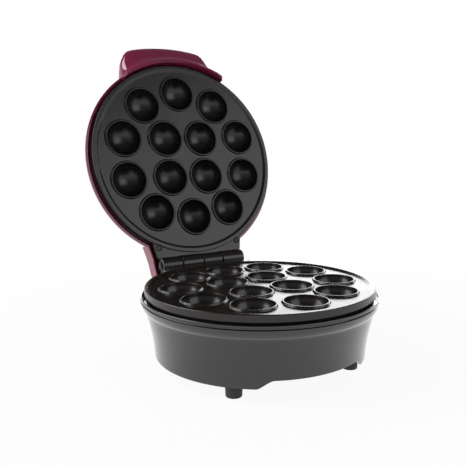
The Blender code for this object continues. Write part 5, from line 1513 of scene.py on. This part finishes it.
@dataclass
class Trim:
    """Finishes for the CAD nodes that keep their own shape."""

    coats: dict[str, Finish] = field(
        default_factory=lambda: {
            "bottom_cover": INNER_PLASTIC,
            "bottom_cover_screw": STEEL,
            "lower_heating_element": SHEATH,
            "upper_heating_element": SHEATH,
            "lower_element_bush": CERAMIC,
            "upper_element_bush": CERAMIC,
            "lower_heat_shield": ALUMINIUM,
            "upper_heat_shield": ALUMINIUM,
            "lower_shield_screw": STEEL,
            "upper_shield_screw": STEEL,
            "thermostat": ALUMINIUM,
            "thermostat_screw": STEEL,
            "thermal_fuse": CERAMIC,
            "fuse_clip": STEEL,
            "terminal_block": CERAMIC,
            "terminal_screw": STEEL,
            "lower_lead": LEAD_COVER,
            "upper_lead": LEAD_COVER,
            "hinge_pin_ring": BLACK_STEEL,
            "lamp_board": BOARD,
            "lamp_board_screw": STEEL,
        }
    )

    def dress(self, nodes: dict[str, bpy.types.Object], replaced: set[str]) -> None:
        """Give every CAD node that is still shown its finish.

        Args:
            nodes: the CAD nodes by name.
            replaced: the nodes that a detailed piece stands for.
        """
        for name, item in nodes.items():
            if name in replaced:
                continue
            fits = [key for key in self.coats if name.startswith(key)]
            if not fits:
                log.warning("%s has no finish", name)
                continue
            material = self.coats[max(fits, key=len)].material()
            for slot in item.material_slots:
                slot.material = material
            if not item.material_slots:
                item.data.materials.append(material)


# Studio


@dataclass(frozen=True)
class SoftBox:
    """A soft lamp that looks at a point."""

    name: str
    place: Point
    target: Point
    size: Spot
    watts: float

    def build(self) -> None:
        """Hang the lamp, out of the camera's sight."""
        bpy.ops.object.select_all(action="DESELECT")
        bpy.ops.object.light_add(type="AREA", location=self.place)
        item = bpy.context.active_object
        item.name = self.name
        item.rotation_euler = (Vector(self.target) - Vector(self.place)).to_track_quat("-Z", "Y").to_euler()
        item.data.shape = "RECTANGLE"
        item.data.size, item.data.size_y = self.size
        item.data.energy = self.watts
        item.visible_camera = False


@dataclass
class Studio:
    """A pale floor, white surroundings, soft light and the camera."""

    eye: Point = (-0.32519, -0.57308, 0.22797)
    target: Point = (-0.02979, -0.05488, 0.13491)
    roll_degrees: float = -0.47
    lens: float = 48.218
    sensor: float = 36.0
    room_light: float = 0.62
    ceiling_shine: float = 0.12
    floor_radius: float = 6.0
    floor_drop: float = 0.3 * MM
    floor_glow: float = 0.93
    floor_fade: Spot = (0.15, 0.75)
    boxes: tuple[SoftBox, ...] = (
        SoftBox("front_box", (0.95, -1.65, 0.85), (0.0, 0.0, 0.15), (1.8, 1.3), 11.5),
        SoftBox("back_box", (1.25, 2.1, 0.62), (0.0, 0.0, 0.08), (1.9, 1.0), 18.5),
        SoftBox("left_box", (-2.0, 0.9, 0.50), (0.0, 0.0, 0.15), (1.7, 1.0), 22.0),
        SoftBox("rear_top_box", (-1.35, 0.65, 1.45), (0.0, 0.1, 0.25), (1.2, 1.0), 20.0),
        SoftBox("right_box", (2.1, 0.6, 0.45), (0.0, 0.0, 0.10), (1.5, 0.9), 11.0),
    )

    def camera(self) -> None:
        """Set the camera at the photograph's viewing place."""
        bpy.ops.object.select_all(action="DESELECT")
        bpy.ops.object.camera_add(location=self.eye)
        item = bpy.context.active_object
        item.name = "camera"
        look = (Vector(self.target) - Vector(self.eye)).to_track_quat("-Z", "Y").to_matrix().to_4x4()
        roll = Matrix.Rotation(math.radians(self.roll_degrees), 4, "Z")
        item.matrix_world = Matrix.Translation(self.eye) @ look @ roll
        item.data.lens = self.lens
        item.data.sensor_width = self.sensor
        item.data.sensor_fit = "HORIZONTAL"
        bpy.context.scene.camera = item

    def world(self) -> None:
        """Make the surroundings: white to the camera, a white backdrop under a dim ceiling to gloss."""
        world = bpy.data.worlds.new("white_room")
        bpy.context.scene.world = world
        recipe = Recipe(world)
        recipe.tree.nodes.clear()
        way = recipe.node("TexCoord", output="Generated")
        back = recipe.node("SeparateXYZ", {}, {0: way}, 1).step(-0.35, 0.25)
        low = 1 - recipe.node("SeparateXYZ", {}, {0: way}, 2).step(0.25, 0.60)
        backdrop = (back * 0.7 + 0.3) * low * (1.0 - self.ceiling_shine) + self.ceiling_shine
        light = (low * 0.80 + 0.20) * self.room_light
        seen, glossy, clear = recipe.rays("Is Camera Ray", "Is Glossy Ray", "Is Transmission Ray")
        shown = glossy.sum("MAXIMUM", clear)
        strength = seen + (1 - seen) * (shown * backdrop + (1 - shown) * light)
        glow = recipe.node("Background", {}, {"Color": WHITE, "Strength": strength})
        recipe.node("OutputWorld", {}, {"Surface": glow}, output=None)

    def floor(self) -> None:
        """Lay the pale floor under the feet."""
        bpy.ops.object.select_all(action="DESELECT")
        bpy.ops.mesh.primitive_circle_add(
            vertices=96, radius=self.floor_radius, fill_type="NGON", location=(0.0, 0.0, -self.floor_drop)
        )
        item = bpy.context.active_object
        item.name = "floor"
        recipe = Recipe(bpy.data.materials.new("pale_floor"))
        recipe.done(Base_Color=(0.95, 0.95, 0.95), Roughness=1.0, Specular_IOR_Level=0.0)
        seen, glossy = recipe.rays("Is Camera Ray", "Is Glossy Ray")
        distance = recipe.node("VectorMath", {"operation": "LENGTH"}, {0: recipe.place()}, "Value")
        away = distance.step(*self.floor_fade)
        shown = seen.sum("MAXIMUM", glossy) * (away * (1.0 - self.floor_glow) + self.floor_glow)
        lit = Wire(recipe, recipe.shader.outputs[0])
        glow = recipe.node("Emission", {}, {"Color": WHITE, "Strength": 1.0})
        blend = recipe.node("MixShader", {}, {0: shown, 1: lit, 2: glow})
        recipe.feed(recipe.tree.nodes["Material Output"].inputs["Surface"], blend)
        item.data.materials.append(recipe.owner)
        item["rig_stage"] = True

    def build(self) -> None:
        """Set up the camera, the light and the floor."""
        bpy.context.scene.view_settings.view_transform = "Standard"
        self.camera()
        self.world()
        self.floor()
        for box in self.boxes:
            box.build()


def main() -> None:
    """Build the studio and every piece, in order."""
    logging.basicConfig(level=logging.INFO, format="%(message)s")
    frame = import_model()
    Studio().build()
    CookingPlate("lower_plate", Carrier.BASE, PLATE_COAT, 1).build()
    CookingPlate("upper_plate", Carrier.LID, SHADED_LID_PLATE_COAT, 0).build()
    Housing().build()
    LidShell().build()
    IndicatorLens("power_lens", -1, RED_LENS, "red_lens").build()
    IndicatorLens("ready_lens", 1, GREEN_LENS, "green_lens").build()
    for number, side in ((1, -1), (2, 1)):
        CrossScrew(f"lower_plate_screw_{number}", Carrier.BASE, side).build()
        CrossScrew(f"upper_plate_screw_{number}", Carrier.LID, side).build()
    for row, x, y in (("front", 65.9 * MM, -62.6 * MM), ("rear", 44.0 * MM, 101.0 * MM)):
        Foot(f"foot_{row}_left", -x, y).build()
        Foot(f"foot_{row}_right", x, y).build()
    CordBush().build()
    HingePin().build()
    replaced = {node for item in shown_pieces() for node in item.get("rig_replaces", [])}
    Trim().dress(frame["nodes"], replaced)


if __name__ == "__main__":
    main()
